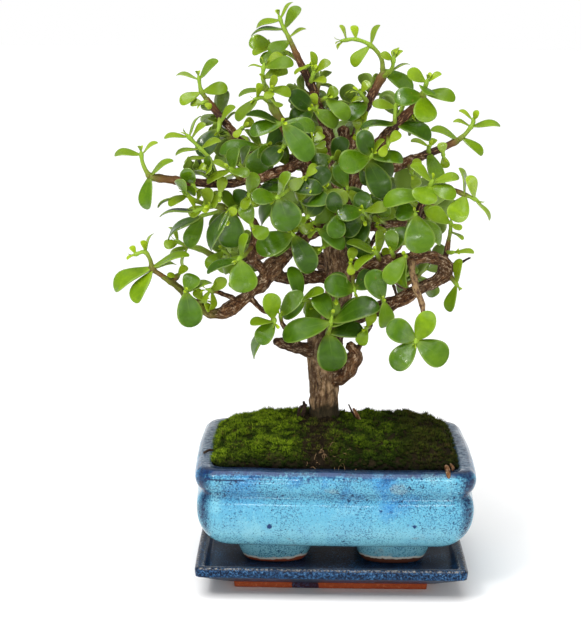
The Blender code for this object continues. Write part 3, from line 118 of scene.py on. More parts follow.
# Each limb: points of (x, z, y, radius), from the trunk outwards.
LIMBS = {
    "trunk": [(-5, 58, 8, 9), (-5, 80, 8, 9), (-4.6, 97, 8, 8.6), (-4.6, 110, 8, 8.5),
        (-5.5, 124, 8, 9), (-5, 137, 8, 9.6), (-1, 150, 8, 8.2), (2.5, 163, 8, 7.6), (3.5, 178, 8, 8),
        (1, 192, 8, 7), (4, 206, 9, 6), (8, 221, 10, 5.2), (12, 234, 11, 4.4)],
    "hook": [(-1, 113, 6, 4.6), (7, 118.5, 1, 4.3), (12, 125, -1, 3.9), (12.6, 131, -1, 3.4),
        (9, 135.5, -1, 2.8)],
    "hook_twig": [(12.5, 128, -1, 1.8), (15.5, 134, -2, 1.5), (18.5, 141, -3, 1.4), (22.5, 148, -4, 1.2)],
    "low_left": [(-8, 131, 6, 4.6), (-17, 133, 2, 3.6), (-26, 135, -2, 2.9), (-34, 137, -5, 2.3)],
    "low_left_twig": [(-20, 134, 0, 1.9), (-26, 142, -5, 1.6), (-30, 148, -9, 1.4)],
    "long_left": [(-1, 205, 8, 5.2), (-12, 203, 5, 4.8), (-19, 197.5, 2, 4.4), (-27, 189, -1, 4.2),
        (-35, 180, -4, 4.3), (-42, 171.5, -7, 3.4), (-50, 164.5, -10, 3.1), (-58, 157.5, -12, 3.6),
        (-66, 153, -14, 3), (-74, 154.8, -16, 2.6), (-81, 160, -18, 2.3), (-88, 166, -20, 2.1),
        (-96, 172.5, -22, 1.9)],
    "long_left_root": [(-1, 176, 8, 4.2), (-14, 175.5, 4, 3.6), (-27, 174.5, 0, 3.3), (-37, 177, -4, 3.2)],
    "long_left_twig": [(-50, 164.5, -10, 1.8), (-44, 157.5, -12, 1.6), (-36, 153.5, -14, 1.4)],
    "long_left_spur": [(-55, 160, -11, 1.8), (-61, 163.5, -16, 1.5), (-66, 165.5, -20, 1.3)],
    "rise_left": [(-36, 178, -4, 3), (-43.5, 181, -8, 2.9), (-47.5, 188, -12, 2.6), (-46, 198, -13, 2.5),
        (-47, 206, -13, 2.4), (-54, 212, -14, 2.2), (-64, 215.3, -16, 2), (-76, 217.5, -18, 1.6)],
    "rise_spur": [(-47.5, 186, -11, 2), (-57, 181.5, -4, 1.9), (-67, 185, 2, 1.9), (-76, 190.5, 4, 1.8),
        (-84, 192.5, 5, 1.4)],
    "mid_left": [(3, 212, 9, 4.6), (-6, 222, 4, 4.2), (-14, 232, 0, 3.8), (-19, 243, -2, 3.4),
        (-24.5, 252, -3, 3.1), (-30, 262, -3, 2.8), (-35, 271, -2, 2.6), (-39, 280, 0, 2.3)],
    "far_left": [(-19, 242, -2, 2.8), (-32, 236.5, -8, 2.7), (-45, 231.5, -13, 2.6), (-58, 229, -18, 2.5),
        (-72, 229, -22, 2.4), (-90, 230.5, -26, 2.3), (-106, 232.3, -29, 2.2)],
    "high_left": [(-18, 240, -2, 2.8), (-34, 245.5, 12, 2.6), (-48, 248.5, 22, 2.5), (-56, 255, 26, 2.4),
        (-64, 264.5, 29, 2.2), (-74, 277, 32, 2)],
    "leader_left": [(10, 228, 11, 4), (3.5, 239, 12, 3.8), (-2, 250, 13, 3.4), (-6, 261, 14, 3.2),
        (-10, 272, 15, 2.9), (-13.5, 283, 15, 2.6), (-19, 294, 16, 2.2), (-23, 302, 17, 1.8),
        (-26, 308.5, 18, 1.5)],
    "cut_stub": [(7, 240, 12, 3.2), (5, 250, 15, 3.3), (3.8, 261, 18, 3.1)],
    "leader_right": [(12, 234, 11, 3.6), (10, 246, 15, 3.2), (11.5, 259, 19, 3), (15, 270, 22, 2.8),
        (20, 280.5, 25, 2.6), (26.5, 292.5, 28, 2.6)],
    "high_right": [(11, 233, 11, 3.4), (19, 246.5, 6, 3.2), (28, 257.5, 0, 3), (36, 266, -5, 2.6),
        (44, 274, -10, 2.3), (49, 280.5, -13, 2.1)],
    "far_right": [(12, 231, 11, 3.2), (24, 236.5, 17, 2.8), (36, 240.5, 22, 2.7), (48, 245.5, 27, 2.5),
        (60, 250.5, 31, 2.2), (69, 255, 34, 1.9)],
    "right_low": [(2, 147, 6, 4.6), (15, 153, 0, 4.2), (28, 158, -4, 4), (40, 163.5, -6, 3.7),
        (50, 169, -5, 3.5), (58, 173.5, -3, 3.4), (65, 179, -1, 3.4)],
    "right_top": [(4, 183, 6, 4.6), (17, 181.5, 0, 3.8), (30, 184.6, -5, 3.4), (43, 187, -8, 3.3),
        (54, 187.6, -7, 3.2), (62, 185.5, -4, 3.2), (65, 179.5, -1, 3.3)],
    "right_front_twig": [(44.5, 186, -9, 2.1), (45.3, 178, -16, 1.9), (47.5, 169.5, -20, 1.8),
        (51, 161, -23, 1.6), (52.5, 153, -26, 1.4), (50.5, 145, -30, 1.3)],
    "right_rise": [(45.5, 187, -8, 2.4), (46, 199, -12, 2.2), (47, 212, -16, 2.1), (51, 221, -20, 1.8),
        (59, 227, -24, 1.6), (68, 226.5, -28, 1.4), (74, 224, -30, 1.3)],
    "right_rear": [(4, 203, 9, 3.4), (16, 204.5, 18, 2.8), (28, 206, 26, 2.3), (40, 207, 33, 1.8)],
    "right_rear_twig": [(27, 206, 25, 1.7), (23.5, 199, 22, 1.5), (19, 190, 16, 1.3)],
    "right_end": [(63, 184, -3, 2), (64.6, 191, -1, 1.6), (65.6, 198, 1, 1.4)],
    "right_dead": [(64, 182.5, -2, 1.3), (71, 184.8, -1, 1), (78.5, 188, 0, 0.8)],
    "right_dead_low": [(36, 162, -5, 0.9), (36.2, 167, -7, 0.8), (34.2, 171.5, -9, 1.2)],
    "back_left": [(2, 180, 10, 5), (-12, 188, 28, 4.2), (-25, 198, 44, 3.2), (-36, 212, 58, 2.4),
        (-44, 228, 66, 1.8)],
    "back_left_low": [(-19, 193, 36, 2.6), (-34, 190, 50, 2), (-48, 184, 60, 1.5)],
    "back_mid": [(3, 190, 11, 4.6), (6, 202, 32, 3.6), (4, 216, 50, 2.8), (0, 232, 62, 2.1),
        (-4, 248, 68, 1.6)],
    "back_right": [(4, 176, 11, 4.8), (17, 181, 30, 3.8), (31, 190, 47, 2.9), (44, 203, 60, 2.2),
        (54, 218, 66, 1.6)],
    "back_right_low": [(18, 182, 32, 2.6), (30, 178, 50, 2), (40, 170, 64, 1.5)],
}

# Where the outer end of a limb is young wood, which belongs to one spray with the shoots on it.
SPRAY_STARTS = {"high_left": 3.9, "far_left": 3.2, "rise_left": 4.9, "rise_spur": 1.3, "mid_left": 4.9,
                "leader_left": 5, "leader_right": 3.1, "high_right": 2.35, "far_right": 3.1,
                "right_rise": 1.7, "right_end": 0.75}

# Hidden side: each limb and place that a shoot grows from there, by the rule in back_shoot.
BACK_PLACES = [("back_left", 2.6), ("back_left", 4), ("back_left_low", 2), ("back_mid", 2.3),
               ("back_mid", 3.2), ("back_mid", 4), ("back_right", 2.7), ("back_right", 4),
               ("back_right_low", 2), ("right_rear", 3)]


class Shoot(NamedTuple):
    """A leafy shoot: the limb and the place along it that it grows from, its route, its leaves.

    A route point is (x, z, how far behind the shoot's base). A leaf is (place along the route from
    0 to 1, tip x, tip z, how far the tip lies behind its root, tilt of its face away from the
    viewer in degrees, width).
    """

    limb: str
    station: float
    route: list[tuple[float, float, float]]
    leaves: list[tuple[float, float, float, float, float, float]]


SHOOTS = [Shoot(*row) for row in [
    # Left side, from the top down
    ("high_left", 5, [(-77, 282, 0), (-78, 288, 0)], [(0.4, -61.5, 282.5, -3, 25, 8.5),
     (0.4, -88.5, 273.5, -4, 35, 7), (1, -67, 298.5, -3, 50, 7), (1, -91, 289.5, 3, 82, 5)]),
    ("high_left", 4.2, [(-66.5, 262, -6), (-67, 260, -8)], [(1, -78, 244.5, -4, 8, 13),
     (0.6, -54, 268.5, 2, 60, 6)]),
    ("far_left", 3.5, [(-69, 236, 2), (-72, 243, 4), (-78, 249.5, 4), (-84, 255.5, 3)],
     [(1, -98, 254.5, -2, 62, 6), (1, -76.5, 267, 5, 80, 4), (0.95, -74, 262.5, -4, 72, 4.5),
     (0.72, -91.5, 244.5, -2, 72, 4.5), (0.72, -65.5, 253, 5, 60, 5), (0.5, -86.5, 241, -4, 62, 5)]),
    ("far_left", 6, [(-108.5, 236, 0), (-110.5, 241, 0), (-111, 245, -1)], [(0.06, -93, 242, -3, 58, 5.5),
     (0.06, -108, 213.5, -5, 30, 7.5), (1, -126.5, 245, 0, 58, 5.5), (1, -102, 252.3, -3, 68, 4.5)]),
    ("rise_left", 7, [(-81, 219.5, -3), (-86, 223, -6)], [(1, -79.5, 240.5, -4, 28, 8.5),
     (1, -86, 239, 7, 40, 7), (0.9, -102, 214.5, -2, 74, 4), (0.9, -95, 215.5, -8, 40, 8),
     (0.3, -75.5, 226, 4, 50, 5)]),
    ("rise_left", 6.4, [(-74, 215, -7), (-80, 213.5, -11)], [(1, -101, 209, -2, 70, 5),
     (1, -84, 220.5, -9, 45, 5), (0.5, -71, 226.5, -5, 45, 8)]),
    ("rise_left", 5.8, [(-68, 212.5, 6), (-76, 210.5, 8)], [(1, -84, 191.5, -5, 20, 10),
     (1, -96.5, 196.5, 4, 68, 7), (0.3, -70, 200, 6, 35, 9)]),
    ("rise_spur", 4, [(-87, 193.5, 0), (-90, 195, 0)], [(0.1, -96, 184.5, 4, 52, 6),
     (1, -98, 191.5, -4, 35, 7), (1, -95, 204, 5, 65, 6), (0.1, -88, 180.5, -5, 74, 4)]),
    ("long_left", 12, [(-101, 176, 0), (-105, 179, -1), (-106.5, 184.5, -2), (-109.5, 189, -2),
     (-114.5, 187.5, -3)], [(0.33, -128, 167, -2, 55, 7), (0.33, -83.5, 186.5, -4, 50, 6),
     (0.28, -114, 158, -8, 52, 7), (0.28, -91.5, 182, 8, 74, 4), (0.75, -111, 195.5, -2, 55, 4.5),
     (0.75, -104.7, 200, 3, 80, 3.5), (1, -118, 192, 1, 40, 4), (1, -120, 184.5, -3, 60, 3.5)]),
    ("long_left", 10.7, [(-86, 165, -5), (-86, 166, -9)], [(1, -83, 144.5, -6, 8, 14.5),
     (1, -80.5, 176, 4, 12, 10.5), (0.5, -70.5, 168.5, 8, 62, 6)]),
    ("long_left_spur", 2, [(-69, 166.5, -2), (-72, 167, -3)], [(0.5, -65.5, 177.5, -4, 25, 7),
     (1, -74, 175, 2, 50, 6), (0.5, -67, 156, 3, 55, 6), (1, -75, 159.5, -5, 55, 6)]),
    ("rise_left", 2.6, [(-51, 189, -8), (-55, 185.5, -14)], [(1, -52, 165.3, -6, 8, 16.5),
     (1, -73.5, 176.5, -4, 50, 7), (0.9, -49.5, 200, -6, 52, 6.5), (0.6, -63, 177.5, 6, 38, 9)]),
    ("rise_spur", 1.6, [(-61, 187.5, -4), (-64, 190, -7)], [(1, -73, 179, -5, 32, 9),
     (1, -61, 200, 4, 45, 8), (0.5, -72, 195, 7, 35, 9)]),
    ("rise_left", 5.2, [(-57, 215.5, -5), (-60, 214.5, -9)], [(1, -59, 191.5, -5, 12, 15.5),
     (1, -72, 190.5, 5, 32, 9), (0.5, -68, 222.5, -3, 28, 10), (0.5, -50, 224.5, -2, 20, 12)]),
    ("far_left", 2.6, [(-55, 233, -5), (-60, 237, -9)], [(1, -50, 232.5, -8, 45, 8),
     (1, -73.5, 229, -5, 40, 8), (0.8, -57, 250, 3, 45, 9), (1, -71, 241, 2, 52, 7)]),
    ("high_left", 1.7, [(-43, 250.5, -8), (-40, 251, -14)], [(1, -45, 233, -6, 12, 17),
     (0.4, -66.5, 246.5, -3, 38, 9), (1, -29, 258, 0, 35, 11), (0.4, -52, 259.5, 6, 45, 9)]),
    # Centre left
    ("mid_left", 1.9, [(-22, 229, -9), (-33, 221.5, -18)], [(1, -50, 219.5, -6, 15, 10),
     (1, -25.5, 235.5, -7, 48, 5.5), (0.95, -26, 201.8, -7, 8, 18), (0.85, -52.5, 210.5, 4, 32, 10),
     (0.5, -45, 229, 2, 35, 10), (0.5, -7.5, 226, -4, 32, 10)]),
    ("mid_left", 0.9, [(-6.5, 223, -11), (-6, 226, -15)], [(1, -14, 239, -4, 20, 10.5),
     (1, 7, 219, -3, 25, 8.5), (0.5, -17, 217, 5, 40, 10)]),
    ("long_left", 1.4, [(-16, 211, -7), (-19, 219, -10)], [(1, -3, 208, -4, 35, 12),
     (0.6, -31, 212, 9, 38, 10)]),
    ("long_left", 2.5, [(-22, 197.5, -8), (-24, 200, -11)], [(1, -44.5, 188.5, -4, 15, 15),
     (1, -13, 178, -5, 14, 13.5), (0.5, -29, 187, 9, 35, 10)]),
    ("trunk", 6.6, [(-12, 161, -9), (-19, 162, -14)], [(1, -25.5, 181, -3, 25, 10),
     (1, -5.5, 167, -6, 50, 6), (0.8, -30, 152, -4, 22, 12), (0.7, -12, 147, 5, 32, 12)]),
    ("trunk", 4.8, [(-3, 142, -15), (-1.5, 148, -19), (-1, 151, -20)], [(0.3, 0, 119.5, -6, 10, 17.5),
     (0.3, 17.5, 140.5, 3, 38, 10), (0.85, -29.5, 139.5, -5, 20, 13.5), (0.85, 27, 158, -5, 30, 10.5),
     (0.95, -11, 164.5, 6, 25, 13), (0.6, 25, 149.5, 6, 45, 9)]),
    ("long_left_twig", 2, [(-35, 151.5, -3), (-34.5, 149, -6)], [(0.6, -38.5, 166, -4, 20, 11),
     (1, -43, 135.5, -5, 20, 11.5), (1, -48.5, 146, -6, 45, 5), (0.6, -44.5, 126.5, 6, 58, 5)]),
    ("low_left_twig", 2, [(-31, 150, -2), (-31, 152, -4)], [(1, -18.5, 166.5, -4, 20, 10),
     (1, -24, 139.5, 6, 42, 8)]),
    ("mid_left", 7, [(-40.5, 284, 0), (-42, 290, 1), (-41.5, 295, 1)], [(0.2, -26, 280, -4, 48, 6),
     (0.2, -55.5, 278, -3, 62, 5), (0.2, -43.7, 291, -6, 70, 4), (0.6, -28, 294.5, 5, 30, 8),
     (1, -24.5, 297, -4, 42, 7), (1, -50.5, 295.5, 2, 80, 4), (1, -30.5, 301.5, 4, 50, 6)]),
    ("mid_left", 6.4, [(-42, 278, -3), (-45, 277.5, -5)], [(1, -56, 264, -4, 33, 9),
     (1, -51, 284, 3, 50, 6), (0.3, -37, 262, -7, 40, 7)]),
    ("mid_left", 5.1, [(-31, 263.5, -7), (-30.5, 264, -10)], [(1, -14.5, 242.5, -5, 12, 13.5),
     (1, -49, 257, -2, 30, 10), (0.7, -12, 260.5, 5, 28, 9), (0.6, -52, 266, -6, 48, 7)]),
    ("leader_left", 3.8, [(-12.5, 271, -7), (-13.5, 272, -11)], [(1, -27.5, 280, -3, 18, 13.5),
     (1, -25.5, 265, -5, 12, 13), (0.8, 0, 262, 2, 30, 10)]),
    ("leader_left", 4.3, [(-8, 277, -4), (-6.5, 278, -6)], [(1, 1, 282.5, -2, 32, 7.5),
     (1, 6.5, 265, -4, 24, 10)]),
    ("leader_left", 5.3, [(-14.5, 288, -3), (-13.5, 291.5, -5)], [(1, -3.5, 298, -2, 58, 5),
     (0.4, -5.8, 287.3, -3, 58, 5), (1, -19, 302, 5, 50, 5)]),
    ("leader_left", 6.6, [(-28, 303, 7), (-36, 307, 11)], [(1, -50, 308.5, -3, 22, 9.5),
     (1, -47.5, 301.5, -7, 48, 6), (0.5, -43.5, 297, -2, 30, 8)]),
    ("leader_left", 6, [(-17.5, 295.5, -3), (-16.5, 296, -5)], [(1, -7.3, 302, 2, 33, 7),
     (1, -24, 291, -4, 50, 5)]),
    ("leader_left", 8, [(-28, 312.5, 1), (-31, 318, 2), (-32.5, 322, 2)], [(0.1, -38.5, 302, -4, 20, 9),
     (0.25, -17.8, 316.5, 1, 64, 4.5), (0.6, -49, 313.5, -2, 75, 4), (0.6, -21.5, 328.5, -4, 40, 7),
     (0.95, -46, 317.3, 3, 60, 5), (1, -25, 330.5, 4, 66, 4.5)]),
    # Centre right
    ("leader_right", 4.9, [(24.5, 301, 1), (18, 308, 1), (10, 311, 1), (3.5, 310.3, 1)],
     [(0.1, 37.5, 276.5, -4, 28, 9), (0.55, 8.5, 296.3, -3, 35, 7), (0.55, 23.7, 319, 1, 62, 4.5),
     (0.8, 8.3, 318.7, 1, 30, 5), (0.95, 0.5, 318.5, -2, 58, 4), (1, -0.5, 305.5, 2, 66, 3.5)]),
    ("leader_right", 4.7, [(30.5, 294.5, -5), (31.5, 300, -7)], [(1, 24.5, 302.7, -3, 35, 6.5),
     (1, 36.8, 305, 2, 60, 4.5), (0.5, 41, 297, 2, 78, 4), (1, 33.5, 306, 6, 40, 6)]),
    ("leader_right", 3.5, [(15.5, 278.5, -5), (13.5, 281, -7)], [(0.2, 6.5, 264, -6, 25, 12),
     (0.5, 8, 276.5, 4, 45, 6), (1, 18.5, 287.5, -1, 35, 5.5), (1, 7.5, 281.5, -3, 72, 3.5)]),
    ("high_right", 4.85, [(49.5, 284, -3), (50.5, 287.5, -4)], [(0.1, 50.3, 264.3, -6, 10, 14),
     (0.1, 32.5, 277.5, -3, 20, 11.5), (0.3, 67, 278, -4, 30, 7), (0.7, 50, 279.5, -10, 30, 11),
     (1, 39, 293.3, -3, 20, 7.5), (1, 58.7, 292.3, 2, 40, 5)]),
    ("high_right", 2.7, [(33, 267.5, -4), (33.3, 273.5, -5)], [(1, 20, 274.5, -3, 30, 7.5),
     (1, 37.8, 277.5, 2, 55, 4.5), (0.1, 14, 260.5, -5, 56, 6), (0.1, 54, 256.3, -3, 38, 7.5)]),
    ("high_right", 0.5, [(17, 242, -9), (20, 246, -15)], [(1, 11, 260.5, -5, 12, 12.5),
     (1, 29, 253.5, 2, 58, 5), (0.9, 1.8, 239, -6, 12, 14.5), (0.9, 38, 242.5, 4, 40, 8.5),
     (0.5, 28, 222, -3, 15, 14), (0.5, 33.5, 235.5, 8, 48, 7)]),
    ("far_right", 5, [(73, 258.5, 0), (77, 264, 0), (77.5, 266.5, 0)], [(0.05, 53.7, 261.3, -2, 60, 5),
     (0.2, 83, 246.3, -3, 42, 6.5), (0.75, 93, 263.7, -2, 52, 6.5), (0.75, 66, 265.8, 3, 74, 4),
     (1, 80, 271.5, -4, 35, 5), (1, 69, 271.8, 1, 60, 4)]),
    ("far_right", 3.4, [(52.5, 250.5, -6), (53, 251.5, -8)], [(1, 42.5, 254.8, -2, 60, 5),
     (1, 56.5, 255.5, 2, 42, 6.5), (0.2, 57.8, 229.5, -5, 24, 11)]),
    ("right_rise", 3.3, [(53, 227, -4), (55, 231, -7)], [(1, 42.3, 240.7, 2, 48, 6.5),
     (1, 70.7, 233.5, -2, 42, 8), (0.8, 49.5, 218, -8, 12, 15), (0.8, 68.5, 221, -5, 22, 10),
     (0.2, 27.5, 217.5, -2, 38, 9)]),
    ("right_rise", 6, [(77, 223, 0), (80, 221.5, 0)], [(0.05, 67, 238.5, -1, 70, 4),
     (0.05, 69, 208, -5, 12, 12.5), (1, 73, 234.7, -1, 42, 5.5), (1, 88.5, 209.3, -3, 66, 4.5)]),
    ("right_rise", 1.9, [(46, 210, -6), (46, 212.5, -9)], [(1, 50, 190.3, -6, 8, 17.5),
     (1, 35, 214.5, 3, 22, 13), (0.5, 61.5, 196, 7, 38, 10)]),
    ("right_end", 2, [(66.4, 203, 0), (66.5, 207.5, -2)], [(1, 52, 214.5, -4, 28, 9.5),
     (1, 72, 203, -3, 38, 7), (0.5, 73.3, 197.5, -6, 60, 6), (0.1, 58.5, 196.5, 2, 52, 6)]),
    ("right_end", 1, [(67, 190.5, -3), (68, 190.7, -4)], [(1, 80.5, 190, -3, 52, 6),
     (0.6, 58, 193, 6, 45, 7)]),
    ("right_rear", 1.2, [(20, 209, -15), (17, 212.5, -24), (16, 214, -28)], [(1, 0.8, 211, -5, 15, 11),
     (1, 30.3, 215, -5, 44, 7.5), (0.6, 9, 191.5, -7, 12, 14.5), (0.7, 9, 222.5, 6, 28, 11),
     (0.7, 26, 221.5, 6, 30, 10.5)]),
    ("trunk", 9.3, [(-6, 202.5, -11), (-10, 203, -16)], [(1, -14, 198.5, -9, 55, 6.5),
     (1, 5.3, 192, -4, 28, 9.5)]),
    ("right_top", 1.8, [(26, 188.5, -5), (24, 190, -9)], [(1, 11.7, 180.3, -4, 52, 7),
     (1, 5.8, 191, 3, 45, 9), (0.5, 24.5, 203, 3, 38, 8)]),
    ("right_top", 2.4, [(33.5, 189, -5), (33, 190.5, -8)], [(1, 34.3, 204, -4, 24, 9),
     (1, 42, 203.5, 5, 32, 9.5)]),
    ("right_top", 2.9, [(41, 189, -5), (40.7, 188.5, -8)], [(1, 31, 171.5, -4, 18, 11),
     (1, 40.3, 169.5, 4, 55, 8)]),
    ("right_low", 2.1, [(29.5, 161, -6), (29, 162, -9)], [(1, 21, 179, -5, 12, 13.5),
     (1, 34, 145, -5, 20, 11)]),
    ("right_front_twig", 5, [(49.5, 141, -3), (48.3, 138.3, -6)], [(0.95, 31.5, 147.5, -3, 12, 14),
     (0.95, 57.8, 155.3, -3, 12, 13), (1, 35.5, 121.5, -5, 10, 13.5), (1, 66.5, 126.5, -5, 10, 15.5)]),
    ("right_top", 0.5, [(11, 172, -7), (12, 168, -11)], [(1, -5.5, 171.5, -4, 12, 14.5),
     (0.9, 25, 174.5, 3, 25, 12)]),
    ("right_top", 5.9, [(68, 176.5, -2), (69, 174.5, -3)], [(1, 68, 155.5, -4, 38, 7),
     (1, 73.5, 187, -3, 40, 7)]),
]]

# Smaller shoots that fill the crown: x, z, the main leaf's length, and its depth past the limb.
EXTRAS = [
    (-0.4, 220, 16, -17), (-2.3, 199.9, 16, -15), (-9.4, 232.4, 15, -14), (16.5, 191.2, 15, -13),
    (15.8, 217.9, 15, -14), (23.7, 229.1, 16, -12), (3.1, 234, 15, -12), (9.3, 208.4, 15, -18),
    (-11.6, 216.2, 14, -15), (2.6, 171, 15, -14), (-42.4, 244.5, 16, -10), (-25, 257, 16, -8),
    (2, 250, 14, -12), (12, 246, 13, -10), (-6.6, 210.7, 13, -11), (1.7, 232, 13, -12),
    (-31, 246.5, 14, -8), (-50.3, 211.3, 13, -9), (-48.1, 229.2, 13, -10), (21.5, 150.7, 11, -7),
    (-65.2, 227.9, 10, -7), (-83, 234, 12, -3), (9.8, 188.8, 9, -12), (29.4, 189.6, 9, -8),
    (30.1, 212.2, 11, -9), (-15.2, 207.1, 11, -10), (-10.1, 258.1, 9, -6), (-50.5, 263.3, 8, -5),
    (-1, 246.9, 10, -9), (-79.6, 213.3, 10, -5), (-68.7, 220.4, 9, -8), (22.6, 210.4, 9, -10),
    (-79.5, 274.9, 8, -3), (-78.5, 163.7, 8, -4), (-36.5, 286.5, 9, -5), (11.9, 263.4, 8, -6),
    (-12.6, 277.2, 8, -6), (15.2, 268, 8, -6), (-30, 203, 10, -12), (-42, 243, 10, -9), (40, 197, 10, -12),
    (45, 232, 10, -8), (54, 214, 9, -7), (-22, 230, 11, -14), (14, 222, 10, -14), (-88, 178, 8, 4),
    (-14, 158, 10, -8), (-55, 180, 9, -8), (33, 256, 9, -6), (62, 243, 8, -4), (-62, 205, 9, -8),
    (-24, 268, 9, 8), (20, 240, 9, 9), (-60, 247, 9, 8), (-36, 222, 10, 10), (36, 222, 10, 8)]
FILLERS = 50
FILLER_LIMBS = ["back_left", "back_left_low", "back_mid", "back_right", "back_right_low", "leader_left",
                "leader_right", "right_rear", "mid_left", "high_left", "far_left", "high_right"]


class Leaf(NamedTuple):
    """One leaf: where its root and tip are, the way its upper face looks, and its width."""

    root: Rows
    tip: Rows
    face: Rows
    width: float


class Placed(NamedTuple):
    """One shoot in place: its node, its limb, the station on it, its stem's rows and its leaves."""

    node: str
    limb: str
    station: float
    rows: Rows
    leaves: list[Leaf]


def sighted(x: float, z: float, y: float) -> Rows:
    """Move the point that lines up at (x, 0, z) along the line of sight to the depth y."""
    reach = (y - EYE.y) / -EYE.y
    return np.array(EYE + (Vector((x, 0, z)) - EYE) * reach)


def unit(vector: Rows) -> Rows:
    """Return the vector at a length of one."""
    return vector / max(float(np.linalg.norm(vector)), 1e-9)


def square_to(vector: Rows, axis: Rows) -> Rows:
    """Return the part of a vector that is square to an axis, at a length of one."""
    return unit(vector - axis * axis.dot(vector))


def lengths(rows: Rows) -> Rows:
    """Return the length of each row."""
    return np.linalg.norm(rows, axis=-1)


def reach_along(rows: Rows) -> Rows:
    """Return the length along a route at each of its rows."""
    return np.concatenate([[0], np.cumsum(lengths(np.diff(rows[:, :3], axis=0)))])


def smooth_route(points: Rows, step: float) -> Rows:
    """Run a smooth curve through points.

    Between two points it is the cubic whose slope at each point is half the way from the point
    before to the point after.

    Args:
        points: Rows of x, y, z and radius.
        step: About how far apart the points of the curve lie.

    Returns:
        The curve's rows, of the same kind.
    """
    points = np.asarray(points, dtype=float)
    padded = np.vstack([2 * points[0] - points[1], points, 2 * points[-1] - points[-2]])
    route = []
    for i in range(1, len(padded) - 2):
        before, start, end, after = padded[i - 1:i + 3]
        parts = max(1, round(float(np.linalg.norm((end - start)[:3])) / step))
        t = (np.arange(parts) / parts)[:, None]
        bend = (2 * before - 5 * start + 4 * end - after) * t ** 2
        twist = (3 * start - before - 3 * end + after) * t ** 3
        route.append(0.5 * (2 * start + (end - before) * t + bend + twist))
    route.append(padded[-2:-1])
    return np.vstack(route)


def limb_points(name: str) -> Rows:
    """Return the limb's own points as rows of x, y, z, radius."""
    return np.array([[*sighted(x, z, y), radius] for x, z, y, radius in LIMBS[name]])


def at_station(points: Rows, station: float) -> Rows:
    """Return the row that lies at a place along the points, such as 2.5 for halfway from 2 to 3."""
    start = min(int(station), len(points) - 2)
    return points[start] + (points[start + 1] - points[start]) * (station - start)


def cut_points(points: Rows, start: float = 0, end: Optional[float] = None) -> Rows:
    """Return the points from one station to another, with the cut places added.

    Args:
        points: A limb's points.
        start: The first station.
        end: The last station, or None for the limb's end.

    Returns:
        The points between.
    """
    last = len(points) - 1 if end is None else end
    inner = [points[i] for i in range(len(points)) if start < i < last]
    return np.array([at_station(points, start), *inner, at_station(points, last)])


def limb_place(limb: str, station: float) -> Rows:
    """Return the place and radius of a limb at a station."""
    return at_station(limb_points(limb), station)


def limb_heading(limb: str, station: float) -> Rows:
    """Return the way that the limb runs at a station.

    Args:
        limb: The limb's name.
        station: The place along it.

    Returns:
        The direction.
    """
    points = limb_points(limb)[:, :3]
    start = min(int(station), len(points) - 2)
    return unit(points[start + 1] - points[start])


def on_spray(limb: str, station: float) -> bool:
    """Tell whether the place on the limb belongs to its young outer end."""
    return limb in SPRAY_STARTS and station > SPRAY_STARTS[limb]


def stem_rows(limb: str, station: float, through: Sequence[Rows]) -> Rows:
    """Return a shoot's stem, tapering from just outside its limb, through its points, to its tip.

    Args:
        limb: The limb that the shoot grows from.
        station: The place along the limb.
        through: The points of the shoot's route; those too near the limb are passed over.

    Returns:
        Rows of x, y, z and radius.
    """
    base = limb_place(limb, station)
    sine = np.linalg.norm(np.cross(unit(through[0] - base[:3]), limb_heading(limb, station)))
    out = 0 if on_spray(limb, station) else base[3] * FULLER / max(sine, SINE_LEAST) + STUB_PAST + CLEAR
    far = [point for point in through if np.linalg.norm(point - base[:3]) > out + STEM_LEAST]
    if not far:
        far = [base[:3] + unit(through[-1] - base[:3]) * (out + 2 * STEM_LEAST)]
    places = np.vstack([base[:3] + unit(far[0] - base[:3]) * out, far])
    start = min(STEM_RADIUS[0], base[3] * 0.85)
    return stacked(*places.T, np.linspace(start, STEM_RADIUS[1], len(places)))


def along_route(rows: Rows, share: float) -> Rows:
    """Return the place that lies a share of the way along the route."""
    reach = reach_along(rows)
    return np.array([np.interp(share, reach / reach[-1], rows[:, axis]) for axis in range(3)])


def leaf_on(root: Rows, axis: Rows, toward: Rows, reach: float, slender: float) -> Leaf:
    """Make a leaf along an axis, its face turned one way, its width a share of its length."""
    return Leaf(root, root + axis * reach, square_to(toward, axis), reach * slender)


def seen_leaf(rows: Rows, share: float, x: float, z: float, out: float, tilt: float, width: float) -> Leaf:
    """Make the leaf that lines up with a tip in the picture, its face tilted from the viewer.

    Args:
        rows: The stem's rows of x, y, z and radius.
        share: How far along the stem its root is.
        x: Its tip, across.
        z: Its tip, up.
        out: How far the tip lies behind the root.
        tilt: Degrees from facing the viewer.
        width: Its width as it is seen.

    Returns:
        The leaf.
    """
    root = along_route(rows, share)
    tip = sighted(x, z, root[1] + out)
    length = np.linalg.norm(tip - root)
    true_width = max(width, LEAF_SLENDER * length)
    turn = max(math.radians(tilt), math.acos(min(1, width / true_width)))
    axis = unit(tip - root)
    viewer = unit(np.array(EYE) - root)
    toward = square_to(viewer, axis)
    upward = np.cross(toward, axis)
    if upward[2] < 0:
        upward = -upward
    return Leaf(root, tip, toward * math.cos(turn) + upward * math.sin(turn), true_width)


def front_shoot(shoot: Shoot) -> tuple[Rows, list[Leaf]]:
    """Return the stem and the leaves of a shoot that the table gives.

    Args:
        shoot: The table's row.

    Returns:
        The stem's rows and the leaves.
    """
    base = limb_place(shoot.limb, shoot.station)
    through = [sighted(x, z, base[1] + behind) for x, z, behind in shoot.route]
    rows = stem_rows(shoot.limb, shoot.station, through)
    return rows, [seen_leaf(rows, *leaf) for leaf in shoot.leaves]


